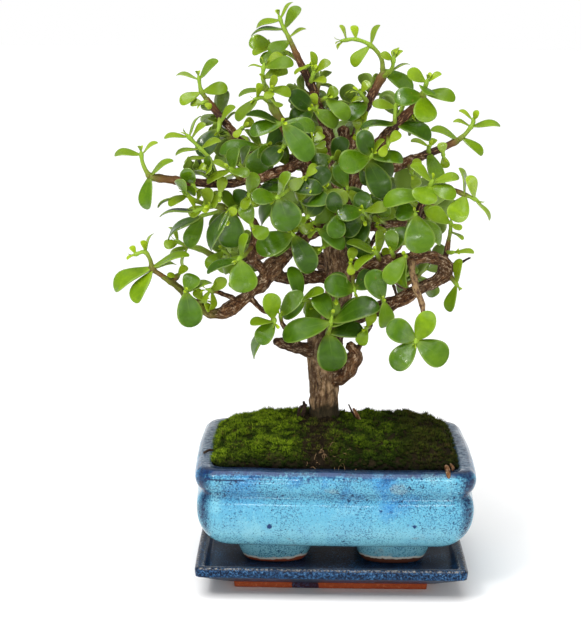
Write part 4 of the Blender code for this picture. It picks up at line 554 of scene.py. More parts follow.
def back_shoot(number: int, limb: str, station: float) -> tuple[Rows, list[Leaf]]:
    """Return the stem and the leaves of a shoot on the hidden side.

    The stem leaves its limb outwards and a little up, turned by the golden angle from shoot to
    shoot. Pairs of leaves stand across it, each pair square to the last, smaller towards the tip.

    Args:
        number: Its place in the table.
        limb: The limb that it grows from.
        station: The place along the limb.

    Returns:
        Its stem's rows and its leaves.
    """
    draw = random.Random(BACK_SEED + number)
    base = limb_place(limb, station)
    outward = unit(np.array([base[0] * 0.7, base[1], 18]))
    turn = number * GOLDEN
    sideways = np.array([math.cos(turn), 0, math.sin(turn)])
    heading = unit(outward + 0.55 * sideways)
    tangent = limb_heading(limb, station)
    if station < len(LIMBS[limb]) - 1:
        heading = unit(heading - tangent * heading.dot(tangent) + 0.45 * tangent)
    length = draw.uniform(22, 30)
    upward = np.array([0, 0, 5])
    through = [base[:3] + heading * length * share + upward * share ** 2 for share in (0.4, 0.7, 1)]
    rows = stem_rows(limb, station, through)
    across = unit(np.cross(heading, [0, 0, 1]))
    leaves = []
    for node, share in enumerate((0.42, 0.7, 0.98)):
        side = across if node % 2 else np.cross(heading, across)
        for way in (-1, 1):
            opening = math.radians(draw.uniform(52, 72) - 9 * node)
            axis = unit(heading * math.cos(opening) + side * way * math.sin(opening))
            reach = (21 - 3.6 * node) * draw.uniform(0.88, 1.1)
            leaves.append(leaf_on(along_route(rows, share), axis, heading, reach, 0.74))
    return rows, leaves


def swung(leaf: Leaf, depth_degrees: float, side_degrees: float) -> Leaf:
    """Swing a leaf about its root: away from or towards its upper face, and to a side.

    Args:
        leaf: The leaf.
        depth_degrees: The swing towards its upper face.
        side_degrees: The swing to its side.

    Returns:
        The leaf in its new place.
    """
    axis = unit(leaf.tip - leaf.root)
    side = np.cross(axis, leaf.face)
    length = np.linalg.norm(leaf.tip - leaf.root)
    depth, aside = math.radians(depth_degrees), math.radians(side_degrees)
    turned = axis * math.cos(depth) * math.cos(aside) + leaf.face * math.sin(depth)
    turned = unit(turned + side * math.sin(aside))
    return Leaf(leaf.root, leaf.root + turned * length, square_to(leaf.face, turned), leaf.width)


def shrunk(leaf: Leaf, share: float) -> Leaf:
    """Return the leaf at a share of its size."""
    return Leaf(leaf.root, leaf.root + (leaf.tip - leaf.root) * share, leaf.face, leaf.width * share)


def leaf_probes(leaf: Leaf) -> Rows:
    """Return points spread over the leaf, for keeping it clear of its neighbours.

    Args:
        leaf: The leaf.

    Returns:
        The points.
    """
    ends = LEAF_RINGS + [(1, 0, 0)]
    wide = np.interp(PROBE_ALONG, [ring[0] for ring in ends], [ring[1] for ring in ends]) * leaf.width / 2
    along = np.repeat(PROBE_ALONG, len(PROBE_ACROSS))
    across = (wide[:, None] * np.array(PROBE_ACROSS)).ravel()
    return leaf_place(leaf, along, across, 0)


def leaf_place(leaf: Leaf, along: Rows, across: Rows, lift: Rows | float) -> Rows:
    """Return points of a leaf's blade.

    The blade's middle line arches above the straight line from root to tip by the arch's share of
    the length times 6.75 s squared (1 - s), and the blade cups up in proportion to the distance
    from that middle line.

    Args:
        leaf: The leaf.
        along: Shares along it, s.
        across: Distances to the side of its middle line.
        lift: Distances above the blade.

    Returns:
        Rows of x, y, z.
    """
    axis = leaf.tip - leaf.root
    length = np.linalg.norm(axis)
    side = np.cross(unit(axis), leaf.face)
    height = LEAF_ARCH * length * 6.75 * along ** 2 * (1 - along) + LEAF_CUP * np.abs(across) + lift
    return leaf.root + along[:, None] * axis + across[:, None] * side + height[:, None] * leaf.face


def segment_gaps(probes: Rows, rows: Rows) -> float:
    """Return the least gap from any of the probes to a tube's own surface.

    Args:
        probes: The points.
        rows: The tube's rows of x, y, z and radius.

    Returns:
        The gap, below 0 inside the tube.
    """
    start, run = rows[:-1], np.diff(rows, axis=0)
    away = probes[:, None, :] - start[None, :, :3]
    share = np.clip((away * run[:, :3]).sum(axis=2) / (run[:, :3] ** 2).sum(axis=1), 0, 1)
    near = away - share[:, :, None] * run[:, :3]
    return float((lengths(near) - start[:, 3] - run[:, 3] * share).min())


class Room:
    """What fills the space round the plant: its limbs, its stems and the leaves placed so far."""

    def __init__(self) -> None:
        """Start with the limbs alone."""
        self.leaf_gap = PROBE_GAP
        self.wood_gap = WOOD_GAP
        self.tubes: list[tuple[Optional[int], Rows]] = []
        self.tubes += [(None, smooth_route(limb_points(name), WOOD_STEP)) for name in LIMBS]
        self.leaves: list[tuple[int, Rows, float, Rows]] = []

    def is_clear(self, probes: Rows, centre: Rows, reach: float, owner: int) -> bool:
        """Tell whether a leaf is clear of all but its own shoot.

        Args:
            probes: Points over the leaf.
            centre: Their middle.
            reach: How far from it they lie.
            owner: The shoot's number.

        Returns:
            True where no stem, limb or leaf is too near.
        """
        for tube_owner, rows in self.tubes:
            near = lengths(rows[:, :3] - centre).min() <= reach + WOOD_STEP + TUBE_MARGIN
            if tube_owner != owner and near and segment_gaps(probes, rows) < self.wood_gap:
                return False
        for leaf_owner, other_centre, other_reach, others in self.leaves:
            near = np.linalg.norm(other_centre - centre) <= reach + other_reach + PROBE_GAP
            if leaf_owner != owner and near and lengths(probes[:, None] - others).min() < self.leaf_gap:
                return False
        return True

    def settle(self, leaf: Leaf, owner: int) -> Optional[Leaf]:
        """Bend a leaf clear of the rest by the least swing.

        Args:
            leaf: The leaf as it should lie.
            owner: The number of its shoot.

        Returns:
            The leaf in its place, or None where no place is clear.
        """
        for share in (1, 0.82):
            for depth_degrees, side_degrees in SWINGS:
                bent = swung(shrunk(leaf, share), depth_degrees, side_degrees)
                probes = leaf_probes(bent)
                centre = probes.mean(axis=0)
                reach = lengths(probes - centre).max()
                if self.is_clear(probes, centre, reach, owner):
                    self.leaves.append((owner, centre, reach, probes))
                    return bent
        return None

    def settle_all(self, leaves: Sequence[Leaf], owner: int) -> list[Leaf]:
        """Settle a shoot's leaves one after the other, without those that have no clear place."""
        settled = [self.settle(leaf, owner) for leaf in leaves]
        return [leaf for leaf in settled if leaf is not None]


def place_shoots(room: Room) -> list[Placed]:
    """Place every shoot, and settle its leaves one after the other in the order of the tables.

    Args:
        room: What is in place already.

    Returns:
        The shoots in place.
    """
    shoots = [(shoot.limb, shoot.station, *front_shoot(shoot)) for shoot in SHOOTS]
    shoots += [(limb, station, *back_shoot(number, limb, station))
               for number, (limb, station) in enumerate(BACK_PLACES)]
    room.tubes += [(owner, rows) for owner, (_, _, rows, _) in enumerate(shoots)]
    placed = []
    for owner, (limb, station, rows, leaves) in enumerate(shoots):
        node = f"spray_{limb}" if on_spray(limb, station) else f"shoot_{owner + 1:02d}"
        placed.append(Placed(node, limb, station, rows, room.settle_all(leaves, owner)))
    return placed


def extra_shoot(number: int, x: float, z: float, size: float, deep: float) -> Placed:
    """Place a small shoot whose main leaf is seen round a place in the picture.

    It grows from the limb that passes nearest to the line of sight, and its second leaf points
    the other way.

    Args:
        number: The number for its random draw.
        x: The leaf's middle, across, at the depth of the origin.
        z: The leaf's middle, up.
        size: The leaf's length.
        deep: How much further from the eye than the limb it stands.

    Returns:
        The shoot, with its leaves as they should lie.
    """
    draw = random.Random(EXTRA_SEED + number)
    spots = [(name, station) for name in LIMBS
             for station in np.arange(0.4, len(LIMBS[name]) - 1, 0.2)]
    rows = np.array([limb_place(*spot) for spot in spots])
    share = EYE.y / (EYE.y - rows[:, 1])
    seen = np.array(EYE) + (rows[:, :3] - np.array(EYE)) * share[:, None]
    gaps = np.hypot(seen[:, 0] - x, seen[:, 2] - z)
    limb, station = spots[int(gaps.argmin())]
    base = rows[gaps.argmin(), :3]
    centre = sighted(x, z, base[1] + deep)
    sight = unit(np.array(EYE) - centre)
    way = centre - base
    way = way - sight * way.dot(sight)
    if np.linalg.norm(way) < 0.6 * size:
        angle = draw.uniform(0.3, 2.8)
        way = np.array([math.cos(angle), 0, math.sin(angle)])
    axis = unit(unit(way) + sight * draw.uniform(-0.25, 0.3))
    root = centre - axis * size / 2
    stem = stem_rows(limb, station, [base + (root - base) * 0.55 + np.array([0, 0, 0.8]), root])
    leaves = []
    side = unit(np.cross(sight, axis))
    for turn, share in ((0, 1), (draw.uniform(2.2, 3.6), draw.uniform(0.7, 1))):
        nod = draw.uniform(0, 0.35) * (turn > 0)
        lean = unit(axis * math.cos(turn) + side * math.sin(turn) + sight * nod)
        face = unit(sight + side * draw.uniform(-0.45, 0.45) + np.array([0, 0, draw.uniform(0, 0.5)]))
        leaves.append(leaf_on(root, lean, face, size * share, draw.uniform(0.6, 0.82)))
    return Placed(f"extra_{number // EXTRA_BATCH + 1}", limb, station, stem, leaves)


def filler_shoot(draw: random.Random) -> Placed:
    """Place a short shoot anywhere on the upper limbs, pointing away from the trunk.

    Args:
        draw: The random draw.

    Returns:
        The shoot, with two or three pairs of leaves as they should lie.
    """
    limb = draw.choice(FILLER_LIMBS)
    station = draw.uniform(1.5, 0.7 * len(LIMBS[limb]))
    base = limb_place(limb, station)[:3]
    away = np.array([0.7 * base[0], base[1] + 6, 14]) / 30
    heading = unit(away + [draw.uniform(-0.9, 0.9), draw.uniform(-0.6, 0.9), draw.uniform(-0.3, 0.9)])
    rows = stem_rows(limb, station, [base + heading * 6, base + heading * draw.uniform(11, 17)])
    across = unit(np.cross(heading, [draw.uniform(-1, 1), 0.3, 1]))
    leaves = []
    for node, share in enumerate((0.6, 0.98)):
        side = across if node else np.cross(heading, across)
        for way in (-1, 1):
            axis = unit(heading * draw.uniform(0.2, 0.7) + side * way)
            reach = draw.uniform(10, 15) * (1 - 0.25 * node)
            leaves.append(leaf_on(along_route(rows, share), axis, heading, reach, 0.72))
    return Placed("extra_5", limb, station, rows, leaves)


def place_extras(room: Room) -> list[Placed]:
    """Place the smaller shoots that fill the crown, closer to their neighbours than the first.

    Args:
        room: What is in place already.

    Returns:
        The shoots in place.
    """
    room.leaf_gap, room.wood_gap = EXTRA_GAPS
    draw = random.Random(FILLER_SEED)
    placed = []
    shoots = [extra_shoot(number, *row) for number, row in enumerate(EXTRAS)]
    shoots += [filler_shoot(draw) for _ in range(FILLERS)]
    for number, shoot in enumerate(shoots):
        owner = EXTRA_OWNER + number
        room.tubes.append((owner, shoot.rows))
        placed.append(shoot._replace(leaves=room.settle_all(shoot.leaves, owner)))
    return placed


def lattice(cells: Rows, seed: int) -> Rows:
    """Return a number from 0 to 1 for each whole-numbered cell, the same on every run.

    Args:
        cells: Whole-numbered x, y, z of each cell.
        seed: Which noise it is.

    Returns:
        One number for each cell.
    """
    key = cells[..., 0] * 374761393 + cells[..., 1] * 668265263 + cells[..., 2] * 1440662683 + seed * 362437
    key = (key ^ (key >> 13)) * 1274126177 & 0xFFFFFFFF
    key = (key ^ (key >> 15)) * 2246822519 & 0xFFFFFFFF
    return ((key ^ (key >> 16)) & 0xFFFF) / 65535


def roughness_at(points: Rows, size: float, seed: int, octaves: int = 3) -> Rows:
    """Return fractal noise from about -1 to 1 at points.

    Each octave blends the numbers at the corners of the cell that a point lies in, by the smooth
    step 3 t squared - 2 t cubed along each axis, and the next octave has half its cell and height.

    Args:
        points: Rows of x, y, z in millimetres.
        size: The first octave's cell in millimetres.
        seed: Which noise it is.
        octaves: How many layers are added.

    Returns:
        One number for each row.
    """
    total, height, used = np.zeros(len(points)), 1, 0
    for octave in range(octaves):
        scaled = points / size * 2 ** octave + 17.3 * octave
        cell = np.floor(scaled).astype(np.int64)
        t = scaled - cell
        t = t * t * (3 - 2 * t)
        blend = np.zeros(len(points))
        for corner in range(8):
            step = np.array([corner & 1, corner >> 1 & 1, corner >> 2 & 1])
            share = np.prod(np.where(step, t, 1 - t), axis=1)
            blend += share * lattice(cell + step, seed + octave)
        total += height * (2 * blend - 1)
        used += height
        height *= 0.5
    return total / used * 1.6


def stacked(*columns: Rows | float) -> Rows:
    """Return columns side by side as rows; a bare number fills its column."""
    return np.stack(np.broadcast_arrays(*columns), axis=-1)


def held(value: Rows) -> Rows:
    """Hold numbers between 0 and 1."""
    return np.clip(value, 0, 1)


def around(angle: Rows) -> Rows:
    """Return the level direction at each angle, as rows of x, y and 0."""
    return stacked(np.cos(angle), np.sin(angle), 0)


def grid_faces(rows: int, columns: int) -> Rows:
    """Return the four-cornered faces between rows of points, each row a ring.

    Args:
        rows: How many rows of points.
        columns: How many points in a row.

    Returns:
        The numbers of each face's points.
    """
    start = np.arange(rows - 1)[:, None] * columns
    column = np.arange(columns)
    after = (column + 1) % columns
    over = start + columns
    return stacked(start + column, start + after, over + after, over + column).reshape(-1, 4)


def fan_faces(centre: int, first: int, count: int, upwards: bool) -> Rows:
    """Return the triangles between a middle point and the closed row of points round it.

    Args:
        centre: The middle point's number.
        first: The ring's first number.
        count: How many points the ring has.
        upwards: Which way they face.

    Returns:
        The numbers of each triangle's points.
    """
    column = np.arange(count)
    after = (column + 1) % count
    start, end = (column, after) if upwards else (after, column)
    return stacked(centre, first + start, first + end)


@dataclass
class Shape:
    """Points in millimetres, their faces, and what each point or face carries.

    tint is four numbers that a finish reads as it needs, grain three more, and finish the number
    of each face's material, the quads' first. What is left out is filled with zeros.
    """

    points: Rows
    quads: Rows
    triangles: Optional[Rows] = None
    tint: Optional[Rows] = None
    grain: Optional[Rows] = None
    finish: Rows | int = 0

    def __post_init__(self) -> None:
        """Fill what is left out."""
        count = len(self.points)
        self.triangles = np.zeros((0, 3), int) if self.triangles is None else self.triangles
        self.tint = np.zeros((count, 4)) if self.tint is None else self.tint
        self.grain = np.zeros((count, 3)) if self.grain is None else self.grain
        self.finish = np.broadcast_to(self.finish, len(self.quads) + len(self.triangles))

    @classmethod
    def rings(cls, points: Rows, sides: int, tint: Optional[Rows] = None,
              grain: Optional[Rows] = None, finish: int = 0) -> Shape:
        """Join closed rings of points, the last two points being the middles of the two ends.

        Args:
            points: The rings' points, then the two middles.
            sides: How many points a ring has.
            tint: Four numbers for each point.
            grain: Three more.
            finish: The number of its material.

        Returns:
            The closed shape.
        """
        count = len(points) - 2
        fans = [fan_faces(count, 0, sides, False), fan_faces(count + 1, count - sides, sides, True)]
        return cls(points, grid_faces(count // sides, sides), np.vstack(fans), tint, grain, finish)

    @classmethod
    def copies(cls, points: Rows, corners: Sequence[Sequence[int]], tint: Optional[Rows] = None) -> Shape:
        """Give each row of points the same triangles.

        Args:
            points: The points of each copy.
            corners: One copy's triangles.
            tint: Four numbers for each point.

        Returns:
            The copies.
        """
        count, each = points.shape[:2]
        triangles = (np.arange(count)[:, None, None] * each + corners).reshape(-1, 3)
        return cls(points.reshape(-1, 3), np.zeros((0, 4), int), triangles, tint)


def gather(shapes: Sequence[Shape]) -> Shape:
    """Put shapes into one, which keeps them as loose bodies.

    Args:
        shapes: What to put together.

    Returns:
        The one shape.
    """
    starts = np.cumsum([0] + [len(shape.points) for shape in shapes[:-1]])
    points, tint, grain = (np.vstack([getattr(shape, name) for shape in shapes])
                           for name in ("points", "tint", "grain"))
    quads, triangles = (np.vstack([getattr(shape, name) + start for shape, start in zip(shapes, starts)])
                        for name in ("quads", "triangles"))
    finish = np.concatenate([shape.finish[:len(shape.quads)] for shape in shapes]
                            + [shape.finish[len(shape.quads):] for shape in shapes])
    return Shape(points, quads, triangles, tint, grain, finish)


def place_object(name: str, data: bpy.types.ID) -> Piece:
    """Make an object and link it to the scene.

    Args:
        name: The object's name.
        data: Its mesh, lamp or lens.

    Returns:
        The object.
    """
    piece = bpy.data.objects.new(name, data)
    bpy.context.scene.collection.objects.link(piece)
    return piece


def carry(mesh: bpy.types.Mesh, tint: Rows, grain: Rows) -> None:
    """Give a mesh's points their tint and grain."""
    mesh.attributes.new("tint", "FLOAT_COLOR", "POINT").data.foreach_set("color", tint.ravel())
    mesh.attributes.new("grain", "FLOAT_VECTOR", "POINT").data.foreach_set("vector", grain.ravel())


def modified(piece: Piece) -> bpy.types.Mesh:
    """Return a new mesh with the piece's modifiers worked in."""
    bpy.context.view_layer.update()
    return bpy.data.meshes.new_from_object(piece.evaluated_get(bpy.context.evaluated_depsgraph_get()))


def make_piece(name: str, shape: Shape, finishes: Sequence[Finish]) -> Piece:
    """Turn a shape into a smooth mesh object with its attributes and materials.

    Args:
        name: The object's name.
        shape: Its points and faces.
        finishes: Its materials, in the order of the faces' numbers.

    Returns:
        The object, at the origin, linked to the scene.
    """
    mesh = bpy.data.meshes.new(name)
    mesh.vertices.add(len(shape.points))
    mesh.vertices.foreach_set("co", (shape.points * MM).ravel())
    corners = np.concatenate([shape.quads.ravel(), shape.triangles.ravel()]).astype(np.int32)
    mesh.loops.add(len(corners))
    mesh.loops.foreach_set("vertex_index", corners)
    starts = np.concatenate([np.arange(len(shape.quads)) * 4,
                             len(shape.quads) * 4 + np.arange(len(shape.triangles)) * 3]).astype(np.int32)
    mesh.polygons.add(len(starts))
    mesh.polygons.foreach_set("loop_start", starts)
    mesh.polygons.foreach_set("material_index", shape.finish.astype(np.int32))
    mesh.update(calc_edges=True)
    mesh.shade_smooth()
    carry(mesh, shape.tint, shape.grain)
    for finish in finishes:
        mesh.materials.append(finish)
    return place_object(name, mesh)


def settle_piece(piece: Piece, slot: str, *nodes: str) -> None:
    """Say which nodes a piece stands for and which slot it takes its finish from, and report it.

    Args:
        piece: The piece.
        slot: The finish's slot.
        nodes: The nodes that it stands for.
    """
    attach(piece, "root")
    if nodes:
        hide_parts(*nodes)
    LOG.info("%s: %d points for %s", piece.name, len(piece.data.vertices), ", ".join(nodes) or "no node")


def frames_along(route: Rows) -> tuple[Rows, Rows, Rows]:
    """Return the heading and two square directions at each point of a route.

    The first side direction is carried along from point to point, with the part of it that lies
    along the new heading taken off, so that a tube doesn't twist.

    Args:
        route: Rows of x, y, z.

    Returns:
        The heading at each row and the two directions square to it.
    """
    heading = np.gradient(route, axis=0)
    heading /= lengths(heading)[:, None]
    side = np.zeros_like(heading)
    last = np.cross(heading[0], [0.31, -0.86, 0.4])
    for i, way in enumerate(heading):
        last = square_to(last, way)
        side[i] = last
    return heading, side, np.cross(heading, side)


def tube_shape(rows: Rows, sides: int, tint: Rows | Sequence[float] = (0, 0, 0, 0)) -> Shape:
    """Carry a circle along a route, closed by a point at both ends.

    Args:
        rows: Rows of x, y, z and radius.
        sides: How many points the circle has.
        tint: Four numbers, for all rows or for each.

    Returns:
        The tube. Its grain is the place round it, as two numbers, and the length along it.
    """
    heading, side, rise = frames_along(rows[:, :3])
    circle = around(math.tau * np.arange(sides) / sides)
    out = circle[None, :, :1] * side[:, None, :] + circle[None, :, 1:2] * rise[:, None, :]
    points = (rows[:, None, :3] + rows[:, None, 3:4] * out).reshape(-1, 3)
    reach = reach_along(rows)
    grain = np.tile(circle, (len(rows), 1)) * np.repeat(rows[:, 3:4], sides, axis=0)
    grain[:, 2] = np.repeat(reach, sides)
    low, high = rows[0, :3] - heading[0] * rows[0, 3] * 0.5, rows[-1, :3] + heading[-1] * rows[-1, 3] * 0.6
    points = np.vstack([points, low, high])
    grain = np.vstack([grain, [0, 0, 0], [0, 0, reach[-1]]])
    tint = np.broadcast_to(tint, (len(rows), 4))
    return Shape.rings(points, sides, np.vstack([np.repeat(tint, sides, axis=0), tint[0], tint[-1]]), grain)


class Flow:
    """A number or colour that a node gives, on which sums can be done."""

    def __init__(self, painter: Painter, socket: bpy.types.NodeSocket) -> None:
        """Keep the socket, and the painter of its material."""
        self.painter = painter
        self.socket = socket

    def __add__(self, other: object) -> Flow:
        """Return the sum."""
        return self.painter.sums("ADD", self, other)

    def __sub__(self, other: object) -> Flow:
        """Return the difference."""
        return self.painter.sums("SUBTRACT", self, other)

    def __mul__(self, other: object) -> Flow:
        """Return the product."""
        return self.painter.sums("MULTIPLY", self, other)

    def __pow__(self, other: object) -> Flow:
        """Return the power."""
        return self.painter.sums("POWER", self, other)

    def __abs__(self) -> Flow:
        """Return the size without its sign."""
        return self.painter.sums("ABSOLUTE", self)

    def span(self, low: float, high: float, bottom: float = 0, top: float = 1) -> Flow:
        """Map the number from low..high to bottom..top, with the smooth step and held at the ends."""
        inputs = {"Value": self, "From Min": low, "From Max": high, "To Min": bottom, "To Max": top}
        return self.painter.node("MapRange", "Result", inputs, interpolation_type="SMOOTHSTEP")


class Painter:
    """One material under way: a Principled surface and the nodes that feed it."""

    def __init__(self, name: str) -> None:
        """Start with a bare surface and the place on the object.

        Args:
            name: The material's name.
        """
        self.material = bpy.data.materials.new(name)
        self.material.use_nodes = True
        self.tree = self.material.node_tree
        self.place = self.node("TexCoord", "Object", {})
        self.body: object = (0.8, 0.8, 0.8)
        self.bumps: dict[str, Flow] = {}

    def feed(self, socket: bpy.types.NodeSocket, value: object) -> None:
        """Link an output into a socket, or set the socket's own value.

        Args:
            socket: The input.
            value: An output, a colour or a number.
        """
        if isinstance(value, Flow):
            self.tree.links.new(value.socket, socket)
        elif isinstance(value, tuple) and len(value) == 3 and socket.type == "RGBA":
            socket.default_value = (*value, 1)
        else:
            socket.default_value = value

    def node(self, kind: str, output: str | int, inputs: dict[str | int, object], **options: object) -> Flow:
        """Add a node with its options and inputs.

        Args:
            kind: The node's type, without the words that all types start with.
            output: Which of its outputs is wanted.
            inputs: What to feed into which of its inputs.
            options: Its own settings.

        Returns:
            The wanted output.
        """
        node = self.tree.nodes.new(f"ShaderNode{kind}")
        for name, value in options.items():
            setattr(node, name, value)
        for key, value in inputs.items():
            self.feed(node.inputs[key], value)
        return Flow(self, node.outputs[output])

    def noise(self, scale: float, detail: float = 4, rough: float = 0.55, at: Optional[Flow] = None,
              warp: float = 0) -> Flow:
        """Return fractal noise, scale being cells in a metre."""
        return self.node("TexNoise", "Fac", {"Vector": at or self.place, "Scale": scale, "Detail": detail,
                                             "Roughness": rough, "Distortion": warp})

    def stretched(self, scale: Colour, at: Optional[Flow] = None, shift: Colour = (0, 0, 0)) -> Flow:
        """Return the place scaled by a different amount along each axis."""
        inputs = {"Vector": at or self.place, "Scale": scale, "Location": shift}
        return self.node("Mapping", "Vector", inputs)

    def carried(self, name: str, output: str = "Color") -> Flow:
        """Return one of the mesh's own attributes."""
        return self.node("Attribute", output, {}, attribute_name=name)

    def tint(self) -> list[Flow]:
        """Return the four numbers of the mesh's tint."""
        colour = self.carried("tint")
        return [*self.parts_of(colour), Flow(self, colour.socket.node.outputs["Alpha"])]

    def parts_of(self, value: Flow) -> list[Flow]:
        """Split a vector or colour into its three numbers."""
        whole = self.node("SeparateXYZ", 0, {0: value})
        return [Flow(self, part) for part in whole.socket.node.outputs]

    def sums(self, kind: str, first: object, second: object = 0, held: bool = False) -> Flow:
        """Return a sum, product or other figure of two numbers, held between 0 and 1 if asked."""
        return self.node("Math", "Value", {0: first, 1: second}, operation=kind, use_clamp=held)

    def ramp(self, value: Flow, *stops: tuple[float, Colour]) -> Flow:
        """Return a colour from stops of place and colour.

        Args:
            value: The number.
            stops: Places and colours, in order.

        Returns:
            The colour.
        """
        colour = self.node("ValToRGB", "Color", {"Fac": value})
        marks = colour.socket.node.color_ramp.elements
        while len(marks) < len(stops):
            marks.new(1)
        for mark, (place, shade) in zip(marks, stops):
            mark.position = place
            mark.color = (*shade, 1)
        return colour

    def mix(self, share: object, first: object, second: object) -> Flow:
        """Blend from the first colour to the second."""
        return self.node("Mix", 2, {"Factor": share, 6: first, 7: second}, data_type="RGBA")

    def coat(self, share: object, colour: object) -> None:
        """Lay a colour over a share of the body colour so far."""
        self.body = self.mix(share, self.body, colour)

    def relief(self, height: Flow, strength: float, depth: float) -> None:
        """Raise the surface by a height, depth in millimetres, on top of any relief so far."""
        inputs = {"Strength": strength, "Distance": depth * MM, "Height": height, **self.bumps}
        self.bumps = {"Normal": self.node("Bump", "Normal", inputs)}

    def finished(self, **values: object) -> Finish:
        """Set the surface's sockets, whose names have underscores for spaces, and return the material.

        Args:
            values: Numbers, colours or outputs by socket.

        Returns:
            The material.
        """
        surface = self.tree.nodes["Principled BSDF"]
        for name, value in {"Base_Color": self.body, **self.bumps, **values}.items():
            self.feed(surface.inputs[name.replace("_", " ")], value)
        return self.material


@dataclass(frozen=True)
class PotGlaze:
    """Sky blue glaze, speckled navy, breaking dark at its edges, over terracotta."""

    sky: Colour = (0.098, 0.35, 0.495)
    pale: Colour = (0.24, 0.53, 0.6)
    azure: Colour = (0.03, 0.19, 0.44)
    navy: Colour = (0.004, 0.014, 0.055)
    azure_deep: Colour = (0.003, 0.03, 0.12)
    ash: Colour = (0.23, 0.27, 0.26)
    clay: Colour = (0.29, 0.06, 0.022)

    def material(self) -> Finish:
        """Make the glaze: clouds of blue, bands by level, two sizes of speckle, worn edges, a painted
        reflection line and clay.

        Returns:
            The pot's material.
        """
        p = Painter("pot_glaze")
        x, y, z = p.parts_of(p.place)
        cloud = p.noise(28, 5, 0.6)
        p.body = p.ramp(cloud, (0.3, self.azure), (0.46, self.sky), (0.62, self.sky), (0.78, self.pale))
        worn, corner, groove, _ = p.tint()
        low = z.span(0.052, 0.034)
        p.coat(low * 0.55, self.pale)
        streak = p.noise(60, 4, 0.6, p.stretched((1, 1, 0.35)))
        azure = streak.span(0.48, 0.62) * z.span(0.05, 0.071, 0.15, 1)
        p.coat(azure * 0.75, self.azure)
        patch = p.noise(75, 3, 0.5, p.stretched((1, 1, 1.4), shift=(0.31, 0.2, 0.1))).span(0.64, 0.74)
        p.coat(patch * 0.5, self.ash)
        fine = p.noise(1150, 2, 0.6)
        coarse = p.noise(520, 3, 0.6)
        dense = p.noise(45, 4, 0.6).span(0.35, 0.7, -0.02, 0.07)
        edge = p.sums("ADD", corner, groove, held=True)
        dense = dense + edge * 0.14
        dense = dense + z.span(0.05, 0.072, -0.012, 0.035)
        light = p.noise(900, 2, 0.6, p.stretched((1, 1, 1), shift=(0.7, 0.1, 0.4))).span(0.55, 0.66)
        p.coat(light * 0.4, self.pale)
        dots = (fine + dense).span(0.535, 0.625)
        blots = (coarse + dense).span(0.66, 0.72)
        p.coat(dots * 0.66, (0.01, 0.06, 0.15))
        p.coat(blots * 0.85, self.navy)
        for spot_x, spot_z, wide in ((-0.035, 0.044, 0.0016), (0.046, 0.045, 0.0011),
                                     (0.027, 0.054, 0.0008)):
            side = (x - spot_x) ** 2
            away = (side + (z - spot_z) ** 2) ** 0.5
            away = away + p.noise(700) * 0.0022
            spot = away.span(wide + 0.0015, wide + 0.0006) * y.span(-0.035, -0.045)
            p.coat(spot, (0.006, 0.03, 0.11))
        p.coat(edge * cloud.span(0.3, 0.6, 0.35, 0.85), self.navy)
        drip = z + p.noise(110, 4, 0.7, p.stretched((1, 1, 0.5))).span(0.36, 0.66, -0.002, 0.006)
        drip = drip + p.noise(800, 2).span(0.3, 0.7, -0.0012, 0.0012)
        pool = drip.span(0.0735, 0.0785) * y.span(-0.035, -0.045)
        pool = pool * coarse.span(0.38, 0.56, 1, 0.72)
        p.coat(pool * 0.95, self.azure_deep)
        # Painted reflection: a thin dark line along the upper band on the front's left, the dark edge of a
        # window's reflection.
        inner = abs(z - 0.0708).span(0.0006, 0.0002)
        inner = inner * (x.span(-0.072, -0.069) * x.span(-0.046, -0.05))
        p.coat(inner * y.span(-0.035, -0.045, 0, 0.9), self.navy)
        rim = p.ramp(p.noise(420, 4, 0.7), (0.34, (0.012, 0.02, 0.045)), (0.5, (0.095, 0.13, 0.18)),
                     (0.66, (0.22, 0.26, 0.3)))
        rim = p.mix(y.span(-0.0465, -0.052, 0, 0.88), rim, (0.004, 0.012, 0.04))
        p.coat(worn * 0.9, rim)
        wave = z + p.noise(90, 3) * 0.006
        bare = wave.span(0.0208, 0.02)
        earth = p.ramp(p.noise(700, 4, 0.7), (0.3, (0.24, 0.055, 0.025)), (0.6, self.clay),
                       (0.8, (0.5, 0.2, 0.11)))
        earth = p.mix(x.span(0, 0.01, 0, 0.8), earth, (0.06, 0.024, 0.014))
        line = wave.span(0.0196, 0.0204) * wave.span(0.0222, 0.021)
        p.coat(line * 0.8, (0.76, 0.7, 0.58))
        p.coat(bare, earth)
        p.relief(p.noise(900, 2), 0.1, 0.15)
        p.relief(p.noise(55, 3, 0.5), 0.3, 1.2)
        run = z + p.noise(40, 2) * 0.001
        run = run.span(0.0706, 0.0696) * x.span(0.012, -0.004)
        p.relief(run, 1, 0.23)
        shine = bare.span(0, 1, 0.15, 0.85) + fine.span(0.5, 0.8, 0, 0.12)
        return p.finished(Roughness=shine, Specular_IOR_Level=0.26)


